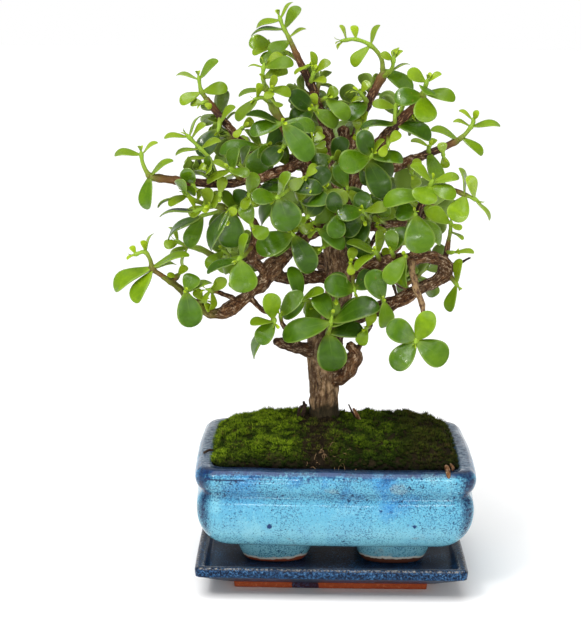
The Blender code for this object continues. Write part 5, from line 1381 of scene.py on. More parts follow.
@dataclass(frozen=True)
class SaucerGlaze:
    """Navy glaze with blue speckles, rubbed to cream along the lip, over a terracotta plinth."""

    navy: Colour = (0.002, 0.005, 0.017)
    blue: Colour = (0.045, 0.16, 0.34)
    cream: Colour = (0.42, 0.38, 0.32)
    clay: Colour = (0.33, 0.066, 0.02)

    def material(self) -> Finish:
        """Make the glaze: navy with speckles, a dotted worn line on the lip, and bare clay below.

        Returns:
            The saucer's material.
        """
        p = Painter("saucer_glaze")
        x, y, z = p.parts_of(p.place)
        lip, outer, plinth, _ = p.tint()
        fine = p.noise(1200, 3, 0.7)
        speck = fine.span(0.52, 0.58)
        p.body = p.mix(speck * p.noise(60).span(0.35, 0.65, 0.2, 0.7), self.navy, self.blue)
        belt = p.ramp(p.noise(850, 3, 0.65), (0.44, self.navy), (0.58, (0.018, 0.07, 0.17)),
                      (0.74, (0.12, 0.26, 0.42)))
        middle = z.span(0.012, 0.0142) * z.span(0.018, 0.017)
        p.coat(outer * middle.span(0, 1, 0.15, 0.85), belt)
        rubbed = lip * p.noise(700, 3, 0.6).span(0.44, 0.6)
        p.coat(rubbed * 0.62, self.cream)
        ragged = x + p.noise(160, 3) * 0.006
        glazed = ragged.span(-0.0195, -0.0185) * ragged.span(-0.0035, -0.0045)
        glazed = glazed * y.span(0, -0.01)
        earth = p.ramp(p.noise(500, 4, 0.7), (0.3, (0.26, 0.05, 0.02)), (0.55, self.clay),
                       (0.8, (0.58, 0.22, 0.11)))
        bare = plinth * glazed.span(0, 1, 1, 0.1)
        p.coat(bare, earth)
        p.relief(p.noise(800, 2), 0.1, 0.12)
        p.relief(p.noise(60, 2), 0.2, 0.8)
        return p.finished(Roughness=bare.span(0, 1, 0.3, 0.88), Specular_IOR_Level=0.13)


@dataclass(frozen=True)
class Bark:
    """Tan, streaked bark on the trunk, going to red-brown on limbs and grey on dead twigs."""

    tan: Colour = (0.235, 0.142, 0.068)
    shade: Colour = (0.016, 0.008, 0.005)
    rust: Colour = (0.16, 0.062, 0.022)
    dead: Colour = (0.018, 0.011, 0.009)
    pale: Colour = (0.32, 0.21, 0.1)

    def material(self) -> Finish:
        """Make the bark: streaks along the grain, cracks, lichen-grey flecks and rust on limbs.

        Returns:
            The wood's material.
        """
        p = Painter("bark")
        grain = p.carried("grain", "Vector")
        old, red, dead, pale = p.tint()
        streak = p.noise(0.4, 5, 0.65, p.stretched((1, 1, 0.11), grain))
        blotch = p.noise(110, 4, 0.6)
        fleck = p.noise(900, 4, 0.7)
        chip = p.noise(0.8, 4, 0.7, p.stretched((1, 1, 0.4), grain))
        trunk = p.ramp(streak, (0.36, self.shade), (0.47, self.tan), (0.58, (0.38, 0.25, 0.135)),
                       (0.7, (0.56, 0.42, 0.27)))
        limb = p.ramp(streak * 0.5 + blotch * 0.5, (0.38, (0.014, 0.006, 0.003)),
                      (0.46, (0.1, 0.042, 0.016)), (0.54, (0.27, 0.135, 0.056)), (0.64, (0.52, 0.36, 0.21)))
        p.body = p.mix(old, limb, trunk)
        p.coat(red * blotch.span(0.35, 0.6, 0.35, 0.9), self.rust)
        level = p.parts_of(p.place)[2]
        stain = level.span(0.096, 0.106) * (blotch.span(0.42, 0.56) * 0.8)
        p.coat(stain, (0.062, 0.03, 0.014))
        p.coat(chip.span(0.54, 0.62) * old.span(0, 1, 0.6, 0.25), (0.62, 0.46, 0.3))
        p.coat(fleck.span(0.6, 0.72) * 0.35, (0.56, 0.48, 0.38))
        p.coat(chip.span(0.47, 0.4) * old.span(0, 1, 0.75, 0.4), self.shade)
        # The bark goes nearly black towards the trunk's foot, below about 100 mm, on old wood.
        dark_foot = level + p.noise(120, 4, 0.6) * 0.016
        dark_foot = dark_foot.span(0.1095, 0.104, 0, 0.93) * old.span(0.3, 0.7)
        p.coat(dark_foot, (0.016, 0.014, 0.006))
        p.coat(dead * 0.9, self.dead)
        scar = p.noise(0.42, 2, 0.5, p.stretched((0.22, 0.22, 1), grain))
        scar = abs(scar - 0.5).span(0.022, 0.004)
        p.coat(scar * old.span(0.5, 0, 0, 0.6), self.shade)
        green = p.ramp(streak, (0.35, (0.08, 0.07, 0.014)), (0.6, (0.17, 0.19, 0.022)))
        p.coat(pale.span(-0.05, -0.9), green)
        p.coat(pale.span(0, 1, 0, 0.9), p.ramp(chip, (0.4, (0.09, 0.045, 0.03)), (0.52, self.pale)))
        crack = p.noise(0.9, 5, 0.7, p.stretched((1, 1, 0.22), grain))
        p.relief(crack, 1, 1.2)
        p.relief(fleck, 0.5, 0.25)
        return p.finished(Roughness=0.78, Specular_IOR_Level=0.15)


@dataclass(frozen=True)
class YoungStem:
    """Fleshy stem, red-brown where it is older and yellow-green towards its tip."""

    brown: Colour = (0.085, 0.032, 0.01)
    olive: Colour = (0.13, 0.125, 0.018)
    green: Colour = (0.235, 0.37, 0.03)

    def material(self) -> Finish:
        """Make the stem: its age sets the colour, with fine streaks and a soft gloss.

        Returns:
            The stems' material.
        """
        p = Painter("young_stem")
        age = p.tint()[0]
        streak = p.noise(1.4, 4, 0.6, p.stretched((1, 1, 0.2), p.carried("grain", "Vector")))
        place = age + (streak - 0.5) * 0.35
        p.body = p.ramp(place, (0.02, (0.03, 0.011, 0.005)), (0.12, self.brown),
                        (0.42, (0.15, 0.078, 0.02)), (0.6, self.olive), (0.85, self.green))
        tan = streak.span(0.54, 0.64) * age.span(0.45, 0.1, 0, 0.7)
        p.coat(tan, (0.36, 0.2, 0.1))
        p.relief(streak, 0.7, 0.5)
        return p.finished(Roughness=age.span(0, 1, 0.62, 0.36), Specular_IOR_Level=0.2,
                          Subsurface_Weight=0.08, Subsurface_Scale=0.002, Subsurface_Radius=(1, 1, 0.4))


@dataclass(frozen=True)
class LeafSkin:
    """Waxy green leaf, yellower when young, greyer beneath, with a thin painted highlight along its margin.
    """

    deep: Colour = (0.018, 0.05, 0.001)
    fresh: Colour = (0.11, 0.208, 0.002)
    young: Colour = (0.3, 0.415, 0.012)
    under: Colour = (0.135, 0.205, 0.03)

    def material(self) -> Finish:
        """Make the leaf: its tint holds youth, a random number, the underside and the margin, which gets a
        thin painted highlight.

        Returns:
            The leaves' material.
        """
        p = Painter("leaf_skin")
        youth, chance, under, margin = p.tint()
        across, along, _ = p.parts_of(p.carried("grain", "Vector"))
        mottle = p.noise(130, 3, 0.65, warp=0.4)
        # Painted shade: the chance is lower on crowded shoots, which darkens them; the mottle is random.
        shade_and_tone = chance * 0.62 + mottle * 0.38
        p.body = p.ramp(shade_and_tone, (0.2, self.deep), (0.42, (0.05, 0.122, 0.002)), (0.66, self.fresh),
                        (0.92, (0.25, 0.385, 0.004)))
        p.coat(youth, self.young)
        base = along.span(0.3, 0)
        p.coat(base * 0.45, (0.25, 0.34, 0.03))
        p.coat(under * 0.75, self.under)
        vein = abs(across).span(0.07, 0)
        p.coat(vein * along.span(0.8, 0.2, 0, 0.12), (0.28, 0.46, 0.07))
        # Painted highlight: a thin pale line all round the leaf's margin.
        p.coat(margin * 0.36, (0.34, 0.45, 0.1))
        spot = p.noise(420, 2, 0.5).span(0.73, 0.77)
        p.coat(spot * 0.5, (0.2, 0.13, 0.03))
        p.relief(p.noise(230, 3, 0.5), 0.38, 0.6)
        p.relief(p.noise(1500, 2), 0.08, 0.1)
        wax = p.noise(58, 3, 0.6)
        return p.finished(Roughness=wax.span(0.45, 0.66, 0.38, 0.2), Subsurface_Weight=0.05,
                          Subsurface_Scale=0.002, Subsurface_Radius=(0.8, 1, 0.2),
                          Specular_IOR_Level=wax.span(0.5, 0.64, 0.17, 0.65))


@dataclass(frozen=True)
class Earth:
    """Dark damp soil with crumbs."""

    dark: Colour = (0.008, 0.005, 0.003)
    light: Colour = (0.056, 0.036, 0.019)

    def material(self) -> Finish:
        """Make the soil: crumbs of two sizes, with green from the moss and painted shade that its tint
        gives, and painted shadow low along the pot's wall.

        Returns:
            The soil's material.
        """
        p = Painter("earth")
        green, shade = p.tint()[:2]
        crumb = p.noise(1100, 4, 0.75)
        clod = p.noise(260, 4, 0.65)
        p.body = p.ramp(crumb * 0.6 + clod * 0.4, (0.36, self.dark), (0.52, (0.019, 0.013, 0.007)),
                        (0.68, self.light))
        felt = p.ramp(crumb, (0.34, (0.006, 0.011, 0.001)), (0.52, (0.028, 0.05, 0.003)),
                      (0.7, (0.1, 0.14, 0.01)))
        p.coat(green, felt)
        p.coat(shade * 0.6, self.dark)
        # Painted shadow: the soil goes nearly black below 79 mm, where it meets the pot's wall.
        p.coat(p.parts_of(p.place)[2].span(0.079, 0.0752, 0, 0.9), (0.004, 0.003, 0.002))
        p.relief(clod, 0.7, 1.5)
        p.relief(crumb, 0.8, 0.6)
        return p.finished(Roughness=0.92, Specular_IOR_Level=0.06)


@dataclass(frozen=True)
class MossGreen:
    """Moss from yellow-green tips to dark roots, the roots' dark partly painted shade, in lit and shaded
    copies of its colours.
    """

    root: Colour = (0.003, 0.006, 0.001)
    mid: Colour = (0.03, 0.068, 0.002)
    tip: Colour = (0.26, 0.4, 0.01)
    brown: Colour = (0.09, 0.058, 0.018)

    def material(self) -> Finish:
        """Make the moss: its tint holds the height on a blade, its painted brightness and its brownness.

        Returns:
            The moss's material.
        """
        p = Painter("moss_green")
        height, bright, brown, _ = p.tint()
        # Painted light and shade: lit and shaded copies of the moss's colours, blended by each tuft's
        # painted brightness; both go dark at the root, partly painted shade low among the blades.
        lit = p.ramp(height, (0, self.root), (0.45, self.mid), (1, self.tip))
        shaded_colours = p.ramp(height, (0, (0.003, 0.005, 0.001)), (0.5, (0.006, 0.014, 0.001)),
                      (1, (0.018, 0.036, 0.003)))
        p.body = p.mix(bright, shaded_colours, lit)
        p.coat(brown, p.ramp(height, (0, (0.007, 0.004, 0.002)), (1, self.brown)))
        gap_shade_and_fleck = p.noise(700, 3, 0.7)
        # Painted shadow: the moss goes dark below 80 mm, where it meets the pot's wall.
        p.coat(p.parts_of(p.place)[2].span(0.08, 0.0755, 0, 0.8), self.root)
        # Painted shade in the fine gaps between strands, and light flecks of strand tips as bright as the
        # tuft's painted brightness.
        p.coat(gap_shade_and_fleck.span(0.5, 0.38, 0, 0.85), self.root)
        p.coat(gap_shade_and_fleck.span(0.53, 0.64, 0, 0.6) * bright, (0.33, 0.43, 0.03))
        return p.finished(Roughness=0.8, Specular_IOR_Level=0.06)


@dataclass
class Outline:
    """A rounded rectangle, seen from above, whose sides bow a little outwards."""

    length: float
    width: float
    corner: float = 12
    bow: float = 1.2
    shift: float = POT_X
    arc_points: int = 15
    long_points: int = 44
    short_points: int = 30

    def ring(self, inset: float, level: float) -> Rows:
        """Return one closed row of points, anticlockwise from above.

        Each corner is a quarter circle whose radius shrinks by 0.35 of the inset, and each side is
        a straight line with the bow times 4 s (1 - s) added outwards at the share s.

        Args:
            inset: How far it stands in from the widest line.
            level: Its height.

        Returns:
            Rows of x, y, z.
        """
        half = np.array([self.length / 2 - inset, self.width / 2 - inset])
        radius = max(self.corner - 0.35 * inset, 0.35 * self.corner)
        turn = np.linspace(0, 1, self.arc_points)
        arcs = []
        for quarter, sign in enumerate(((1, 1), (-1, 1), (-1, -1), (1, -1))):
            angle = math.pi / 2 * (quarter + turn)
            middle = (half - radius) * sign
            arcs.append(middle + radius * around(angle)[:, :2])
        rows = []
        for quarter, outward in enumerate(((0, 1), (-1, 0), (0, -1), (1, 0))):
            count = self.short_points if quarter % 2 else self.long_points
            share = (np.arange(1, count + 1) / (count + 1))[:, None]
            start, end = arcs[quarter][-1], arcs[(quarter + 1) % 4][0]
            side = start + (end - start) * share + self.bow * 4 * share * (1 - share) * np.array(outward)
            rows += [arcs[quarter], side]
        flat = np.vstack(rows)
        return stacked(flat[:, 0] + self.shift, flat[:, 1], level)

    def lofted(self, profile: Rows) -> Shape:
        """Carry the outline up a profile and close it at both ends.

        The middle of each flat end is filled by the end ring, shrunk towards its own middle in
        steps, and last by a fan of triangles round one point.

        Args:
            profile: Rows of inset and level, from the underside round to the inside.

        Returns:
            The closed shape.
        """
        rings = [self.ring(inset, level) for inset, level in profile]
        middle = np.array([self.shift, 0, 0])
        under = [middle + (rings[0] - middle) * [share, share, 1] for share in (0.2, 0.45, 0.75)]
        inside = [middle + (rings[-1] - middle) * [share, share, 1] for share in (0.75, 0.45, 0.2)]
        ends = [middle + [0, 0, ring[0, 2]] for ring in (rings[0], rings[-1])]
        return Shape.rings(np.vstack(under + rings + inside + [ends]), len(rings[0]))


def smooth_profile(marks: Sequence[tuple[float, float]], step: float) -> Rows:
    """Return rows of inset and level on a smooth curve through marks of level and inset."""
    rows = np.array([[inset, 0, level, 0] for level, inset in marks])
    return smooth_route(rows, step)[:, [0, 2]]


def bell(value: Rows, middle: float, spread: float) -> Rows:
    """Return the bell curve, 1 at its middle and a third at its spread."""
    return np.exp(-((value - middle) / spread) ** 2)


@dataclass
class Pot:
    """The glazed pot: two rounded bands, a flat rim, four feet and two drain holes."""

    length: float = 158
    width: float = 120
    drain_radius: float = 7
    drain_x: float = 30
    foot_levels: tuple[float, float] = (14.3, 29.5)
    foot_sole: tuple[float, float] = (31, 18)
    foot_top: tuple[float, float] = (47, 29)
    foot_centre: tuple[float, float] = (34, 25)
    foot_corner: float = 0.86
    foot_sides: int = 48

    def body(self) -> Shape:
        """Loft the wall, and say where it is worn, cornered or grooved.

        Returns:
            The wall and floor, whose tint is worn, cornered and grooved.
        """
        outer = smooth_profile(OUTER_POT, 1.1)
        inner = smooth_profile(INNER_POT, 2.5)
        shape = Outline(self.length, self.width).lofted(np.vstack([outer, inner]))
        x, y, z = (shape.points - [POT_X, 0, 0]).T
        hand = roughness_at(shape.points * [1, 1, 0.6], 34, 5, 2) * 0.45
        outside = np.abs(x) / (self.length / 2) > 0.8
        outside |= np.abs(y) / (self.width / 2) > 0.74
        away = stacked(x / (self.length / 2), y / (self.width / 2), 0)
        shape.points += away * (hand * outside)[:, None]
        shape.points[:, 2] += np.where(z > 72, roughness_at(shape.points, 26, 9, 2) * 0.35, 0)
        corner = np.minimum(np.abs(x) - self.length / 2, np.abs(y) - self.width / 2)
        corner = held((corner + 10) / 6) * (z > 36)
        groove = 0.3 * bell(z, 60.8, 2.6) * outside + 0.8 * bell(z, 26, 2.2)
        groove += 0.75 * bell(z, 74.4, 0.9) * outside
        worn = held((z - 74.6) / 0.6)
        shape.tint = stacked(worn, corner, groove, 1)
        return shape

    def foot(self, sign_x: int, sign_y: int) -> Shape:
        """Carry an oval up from a foot's sole into the belly, its size growing by the root of the share.

        Args:
            sign_x: -1 on the left and 1 on the right.
            sign_y: -1 in front and 1 behind.

        Returns:
            The foot.
        """
        share = np.array([0, 0.03, 0.1, 0.2, 0.32, 0.46, 0.6, 0.75, 0.9, 1])[:, None]
        pinch = np.where(share < 0.02, 0.96, 1)
        oval = around(math.tau * np.arange(self.foot_sides) / self.foot_sides).T
        sizes = [sole + (top - sole) * share ** 0.5 for sole, top in zip(self.foot_sole, self.foot_top)]
        middle = [POT_X + sign_x * self.foot_centre[0], sign_y * self.foot_centre[1]]
        x, y = (middle[i] + sizes[i] / 2 * pinch * np.sign(oval[i]) * np.abs(oval[i]) ** self.foot_corner
                for i in (0, 1))
        low, high = self.foot_levels
        rings = stacked(x, y, low + (high - low) * share).reshape(-1, 3)
        return Shape.rings(np.vstack([rings, [[*middle, low], [*middle, high]]]), self.foot_sides)

    def build(self, glaze: Finish) -> None:
        """Join the feet to the wall, bore the drain holes and dress the pot.

        Args:
            glaze: The glaze's material.
        """
        feet = [self.foot(i, j) for i in (-1, 1) for j in (-1, 1)]
        piece = make_piece("pot_glazed", gather([self.body(), *feet]), [glaze])
        cutters = []
        for sign in (-1, 1):
            x = POT_X + sign * self.drain_x
            rows = np.array([[x, 0, level, self.drain_radius] for level in (20, 26, 32, 38)])
            cutters.append(make_piece("drain", tube_shape(rows, 32), [glaze]))
            bore = piece.modifiers.new("bore", "BOOLEAN")
            bore.operation = "DIFFERENCE"
            bore.object = cutters[-1]
        piece.data = modified(piece)
        piece.modifiers.clear()
        for cutter in cutters:
            bpy.data.objects.remove(cutter)
        settle_piece(piece, "light_blue_glaze", "pot")


@dataclass
class Saucer:
    """The navy saucer: a plinth, a flared band, a lip and a shallow floor."""

    length: float = 154
    width: float = 118

    def build(self, glaze: Finish) -> None:
        """Loft the saucer and say where it is rubbed, banded or bare.

        Args:
            glaze: The glaze's material.
        """
        shape = Outline(self.length, self.width, 4, 0.4, 0).lofted(smooth_profile(SAUCER, 1))
        x, y, z = shape.points.T
        rim = (np.abs(x) > self.length / 2 - 7) | (np.abs(y) > self.width / 2 - 7)
        edge = np.maximum(np.abs(x) - self.length / 2, np.abs(y) - self.width / 2)
        lip = held((z - 17.9) / 0.4) * np.maximum(bell(edge, -0.9, 0.7), bell(edge, -4.6, 0.7)) * rim
        outer = held((z - 12.2) / 1.5) * (z < 18.3) * rim
        plinth = held((4.5 - z) / 0.5)
        shape.tint = stacked(lip, outer, plinth, 1)
        shape.points[:, 2] += np.where(z > 12, roughness_at(shape.points, 40, 3, 2) * 0.25, 0)
        settle_piece(make_piece("saucer_glazed", shape, [glaze]), "dark_blue_glaze", "saucer")


class Ground(Enum):
    """What grows where on the mound, from left to right: its x range, its share of cover, its light."""

    BRIGHT = (-75, -17, 1, 0.8)
    BARE = (-17, 3, 0.22, 0.25)
    DARK = (3, 31, 0.85, 0.36)
    DUSKY = (31, 75, 0.7, 0.12)

    @classmethod
    def blended(cls, x: Rows, y: Rows) -> tuple[Rows, Rows]:
        """Return the share of moss and its light at each place, blended over a few mm at the borders.

        Each range's weight is the product of two logistic steps, one at each of its ends, and the
        borders wander by a noise of 14 mm cells.

        Args:
            x: Places across.
            y: Places away.

        Returns:
            The moss's share and its light.
        """
        at = x + roughness_at(stacked(x, y, 0), 14, 7, 2) * 6
        cover, light, used = np.zeros(len(x)), np.zeros(len(x)), np.full(len(x), 1e-6)
        for low, high, share, shine in (kind.value for kind in cls):
            inside = 1 / (1 + np.exp(-(at - low) / 1.6)) / (1 + np.exp((at - high) / 1.6))
            cover += share * inside
            light += shine * inside
            used += inside
        return cover / used, light / used


@dataclass
class SoilBed:
    """The mound of soil in the pot, and the moss, crumbs and litter that lie on it."""

    edge: float = 73.6
    rise: float = 15.6
    bottom: float = 34.6
    hole: float = 9
    tufts: int = 4600
    blades: int = 8
    moss_reach: tuple[float, float] = (69.6, 50.4)
    moss_seed: int = 500
    crumb_seed: int = 77
    thread_seed: int = 8
    lumps: tuple[tuple[float, float, float, float], ...] = (
        (-5, 8, 3, 17), (21, 20, 3.4, 6), (45, 24, 2.4, 8), (33, 22, -1.8, 6),
        (61, 6, 1.4, 7), (-48, -14, 0.9, 9), (-55, 30, -1, 14))

    def clumps(self, x: Rows, y: Rows) -> Rows:
        """Return the fine hummocks, from -1 to 1."""
        return roughness_at(stacked(x, y, 0), 5.2, 31, 2)

    def height(self, x: Rows, y: Rows) -> Rows:
        """Return the mound's level: a flat-topped rise, a few lumps, and hummocks of two sizes.

        Args:
            x: Places across.
            y: Places away.

        Returns:
            The level at each place.
        """
        rise = self.rise * (1 - np.minimum(1, np.abs((x - POT_X) / 71)) ** 8)
        rise = rise * (1 - np.minimum(1, np.abs((y - 1) / 53)) ** np.where(y > 1, 2.5, 4))
        fade = np.minimum(1, rise / 8)
        for lump_x, lump_y, tall, wide in self.lumps:
            rise = rise + tall * bell(np.hypot(x - lump_x, y - lump_y), 0, wide) * fade
        rough = roughness_at(stacked(x, y, 0), 12, 41, 3) * 1.5 + self.clumps(x, y) * 1.6
        return self.edge + rise + rough * (0.3 + 0.7 * fade)

    def surface(self) -> Shape:
        """Loft the soil from its floor up the pot's wall, over the mound and down round the trunk.

        Returns:
            The soil, whose tint is greenness and shade.
        """
        outline = Outline(158, 120)
        levels = np.array([self.bottom, 36, 43, 58, 70, self.edge - 0.6])
        insets = np.interp(levels, [33, 36, 43, 58, 73.8], [27, 19, 13, 11, 10.2]) + 0.5
        rings = [outline.ring(inset, level) for inset, level in zip(insets, levels)]
        rim = rings[-1][:, :2]
        angle = np.arctan2(rim[:, 1] - TRUNK_BASE[1], rim[:, 0] - TRUNK_BASE[0])
        hole = TRUNK_BASE + self.hole * around(angle)[:, :2]
        for share in np.linspace(0, 1, 62)[1:] ** 1.15:
            flat = rim + (hole - rim) * share
            rings.append(stacked(*flat.T, self.height(*flat.T)))
        rings.append(stacked(*hole.T, 60))
        points = np.vstack(rings + [[[POT_X, 0, self.bottom]], [[*TRUNK_BASE, 60]]])
        x, y, z = points.T
        cover, light = Ground.blended(x, y)
        green = cover * light * held((z - 72) / 5) * held((y + 50) / 8)
        return Shape.rings(points, len(rim), stacked(green, 1 - light, 0, 1))

    def moss(self, seed: int) -> Shape:
        """Scatter tufts of moss, each a few three-sided spikes that fan out from one place.

        A tuft leans by the ground's slope and by a noise of 5 mm cells. Its painted brightness is its
        ground's light times a random number, with painted shade in the dips between hummocks and
        along the front wall.

        Args:
            seed: The random draw's own number.

        Returns:
            All the spikes. Their tint is height, painted brightness and brownness.
        """
        draw = np.random.default_rng(seed)
        x, y = (draw.uniform(-reach, reach, self.tufts * 3) for reach in self.moss_reach)
        x = POT_X + x
        cover, light = Ground.blended(x, y)
        flat = stacked(x, y, 0)
        patchy = 0.85 + roughness_at(flat, 8, 61, 3) * 0.8
        keep = draw.uniform(0, 1, len(x)) < cover * np.clip(patchy, 0.15, 1)
        keep &= np.hypot(x - TRUNK_BASE[0], y - TRUNK_BASE[1]) > self.hole + 0.8
        keep &= (np.abs(x - POT_X) / 69.4) ** 14 + (np.abs(y) / 50.3) ** 14 < 1
        x, y, flat, light = (values[keep][:self.tufts] for values in (x, y, flat, light))
        count = len(x)
        z, dips = self.height(x, y), self.clumps(x, y)
        slope = stacked(z - self.height(x + 1, y), z - self.height(x, y + 1), 1)
        lean = stacked(*(roughness_at(flat, 5, 90 + i, 2) for i in range(3))) * [0.5, 0.5, 0.1]
        tall = draw.uniform(1.9, 3.7, count) * (0.9 + 0.25 * dips)
        # Painted light and shade: brightness by ground and tuft, darker in the dips and over the last 7 mm
        # before the front wall.
        shine = light * draw.uniform(0.2, 1.35, count) * np.clip(0.75 + 1.1 * dips, 0.05, 1.3)
        shine *= 1 - 0.9 * held((-y - 41) / 7)
        brown = 0.45 * held((x - 34) / 14) * draw.uniform(0, 1.2, count)
        brown += 0.75 * bell(x, -7, 8) * draw.uniform(0, 1, count)
        brown += 0.9 * (draw.uniform(0, 1, count) < 0.03)

        def spread(values: Rows) -> Rows:
            """Give each blade of a tuft what its tuft has."""
            return np.repeat(values, self.blades, axis=0)

        turn = spread(draw.uniform(0, 6.28, count)) + np.tile(np.arange(self.blades) * 2.4, count)
        out = np.tile(np.sqrt((np.arange(self.blades) + 0.3) / self.blades), count)
        away = around(turn)
        way = spread(slope * [0.5, 0.5, 1] + lean) + away * (out * 0.85)[:, None]
        way += draw.normal(0, 0.12, way.shape)
        way /= lengths(way)[:, None]
        root = spread(stacked(x, y, z - 0.6)) + away * (out * 0.45)[:, None]
        wide = draw.uniform(0.28, 0.46, len(turn))
        points = np.zeros((len(turn), 4, 3))
        for i in range(3):
            points[:, i] = root + wide[:, None] * around(turn + math.tau * i / 3)
        points[:, 3] = root + way * (spread(tall) * draw.uniform(0.75, 1.1, len(turn)))[:, None]
        tint = np.ones((len(turn), 4, 4))
        tint[:, :, 0] = [0, 0, 0, 1]
        tint[:, :, 1] = held(spread(shine))[:, None]
        tint[:, :, 2] = held(spread(brown))[:, None]
        return Shape.copies(points, [(0, 1, 3), (1, 2, 3), (2, 0, 3), (2, 1, 0)], tint.reshape(-1, 4))

    def crumbs(self, count: int) -> Shape:
        """Scatter eight-sided crumbs of soil, most of them on the bare ground.

        Args:
            count: How many are drawn.

        Returns:
            The crumbs.
        """
        draw = np.random.default_rng(self.crumb_seed)
        near, wide = draw.normal(-7, 8, count // 2), draw.uniform(-68, 68, count - count // 2)
        x = np.concatenate([near, POT_X + wide])
        y = draw.uniform(-49, 49, count)
        keep = np.hypot(x - TRUNK_BASE[0], y - TRUNK_BASE[1]) > self.hole
        x, y = x[keep], y[keep]
        size = draw.uniform(0.35, 1.05, len(x))
        middle = stacked(x, y, self.height(x, y) + 0.15)
        axes = np.array([[1, 0, 0], [0, 1, 0], [-1, 0, 0], [0, -1, 0], [0, 0, 1], [0, 0, -1]], float)
        points = middle[:, None, :] + axes * size[:, None, None] * draw.uniform(0.6, 1.2, (len(x), 6, 1))
        faces = [(i, (i + 1) % 4, 4) for i in range(4)] + [((i + 1) % 4, i, 5) for i in range(4)]
        return Shape.copies(points, faces)

    def litter(self) -> Shape:
        """Lay dead twigs and withered bits: rows of x, y, z and radius, with their red and dead shares.

        Returns:
            The bits and the threads.
        """
        bits = [
            ([(-17.5, 2, 92, 1.3), (-16.2, 1, 97, 1.2), (-16.8, 0.5, 101, 0.7)], 0, 1),
            ([(-20, 4, 91, 0.9), (-18.6, 3, 96.5, 1), (-15, 2.5, 98.5, 0.7)], 0.1, 1),
            ([(14, 4, 90.5, 0.7), (11.8, 4, 94.5, 0.6), (9.8, 4.5, 98.6, 0.4)], 0.1, 1),
            ([(16.5, 2, 89.5, 0.9), (14.6, 2, 93, 1.3), (12.6, 2.5, 96.6, 0.7)], 1, 0),
            ([(63.5, -49, 77, 1.2), (63.8, -53.5, 76.9, 1.5), (64, -57.6, 75, 1.3),
              (64.3, -58.6, 71.8, 0.6)], 1, 0),
            ([(66, -46, 77.5, 0.8), (67, -51, 77.3, 0.9), (66.6, -54.5, 76.6, 0.5)], 0.8, 0.2),
            ([(-74, -24, 76, 0.6), (-71, -21, 76.8, 0.8), (-67.5, -20.5, 76.4, 0.5)], 0.1, 1)]
        shapes = []
        for rows, red, dead in bits:
            route = smooth_route(np.array(rows), 0.9)
            shapes.append(tube_shape(route, 7, (0, red, dead, 0)))
        return gather(shapes + self.threads(random.Random(self.thread_seed)))

    def threads(self, draw: random.Random) -> list[Shape]:
        """Lay thin dry roots in loops on the bare soil in front of the trunk.

        Args:
            draw: The random draw.

        Returns:
            A shape for each root.
        """
        shapes = []
        for _ in range(26):
            x, y, angle = draw.gauss(-4, 7), draw.uniform(-53, -36), draw.uniform(0, math.tau)
            reach, tall, bow = draw.uniform(2, 4.5), draw.uniform(0.5, 2), draw.uniform(-1.6, 1.6)
            share = np.linspace(0, 1, 6)
            away = share * reach
            aside = bow * np.sin(math.pi * share)
            x = x + away * math.cos(angle) - aside * math.sin(angle)
            y = y + away * math.sin(angle) + aside * math.cos(angle)
            level = self.height(x, y) - 0.3 + tall * np.sin(math.pi * share)
            shapes.append(tube_shape(stacked(x, y, level, 0.15), 4, (0, 0, 0, 1)))
        return shapes

    def build(self, earth: Finish, green: Finish, bark: Finish) -> None:
        """Make the soil's surface, the moss on it and what lies about.

        Args:
            earth: The soil's material.
            green: The moss's material.
            bark: The wood's material.
        """
        settle_piece(make_piece("soil_mound", self.surface(), [earth]), "soil_and_moss", "soil")
        settle_piece(make_piece("soil_crumbs", self.crumbs(2600), [earth]), "soil_and_moss")
        for number in (1, 2):
            moss = self.moss(self.moss_seed + number)
            settle_piece(make_piece(f"moss_{number}", moss, [green]), "soil_and_moss")
        settle_piece(make_piece("litter", self.litter(), [bark]), "bark")


class Limb(NamedTuple):
    """How a limb's bark looks: how red-brown, how dead and how pale it is, from 0 to 1."""

    red: float = 0.25
    dead: float = 0
    pale: float = 0


# Each limb's look, with the plain one for those left out.
LIMB_LOOKS = {
    "right_dead": Limb(0.1, 1), "right_dead_low": Limb(0.1, 0.8), "right_front_twig": Limb(0.1, 0, 0.85),
    "cut_stub": Limb(0.85), "leader_left": Limb(0.75), "leader_right": Limb(0.8), "high_right": Limb(0.7),
    "far_right": Limb(0.55), "far_left": Limb(0.6), "high_left": Limb(0.6), "mid_left": Limb(0.5),
    "hook": Limb(0.45), "hook_twig": Limb(0.1, 0.3), "low_left": Limb(0.3, 0.35), "long_left": Limb(0.35),
    "long_left_root": Limb(0.35, 0.2), "trunk": Limb(0)}


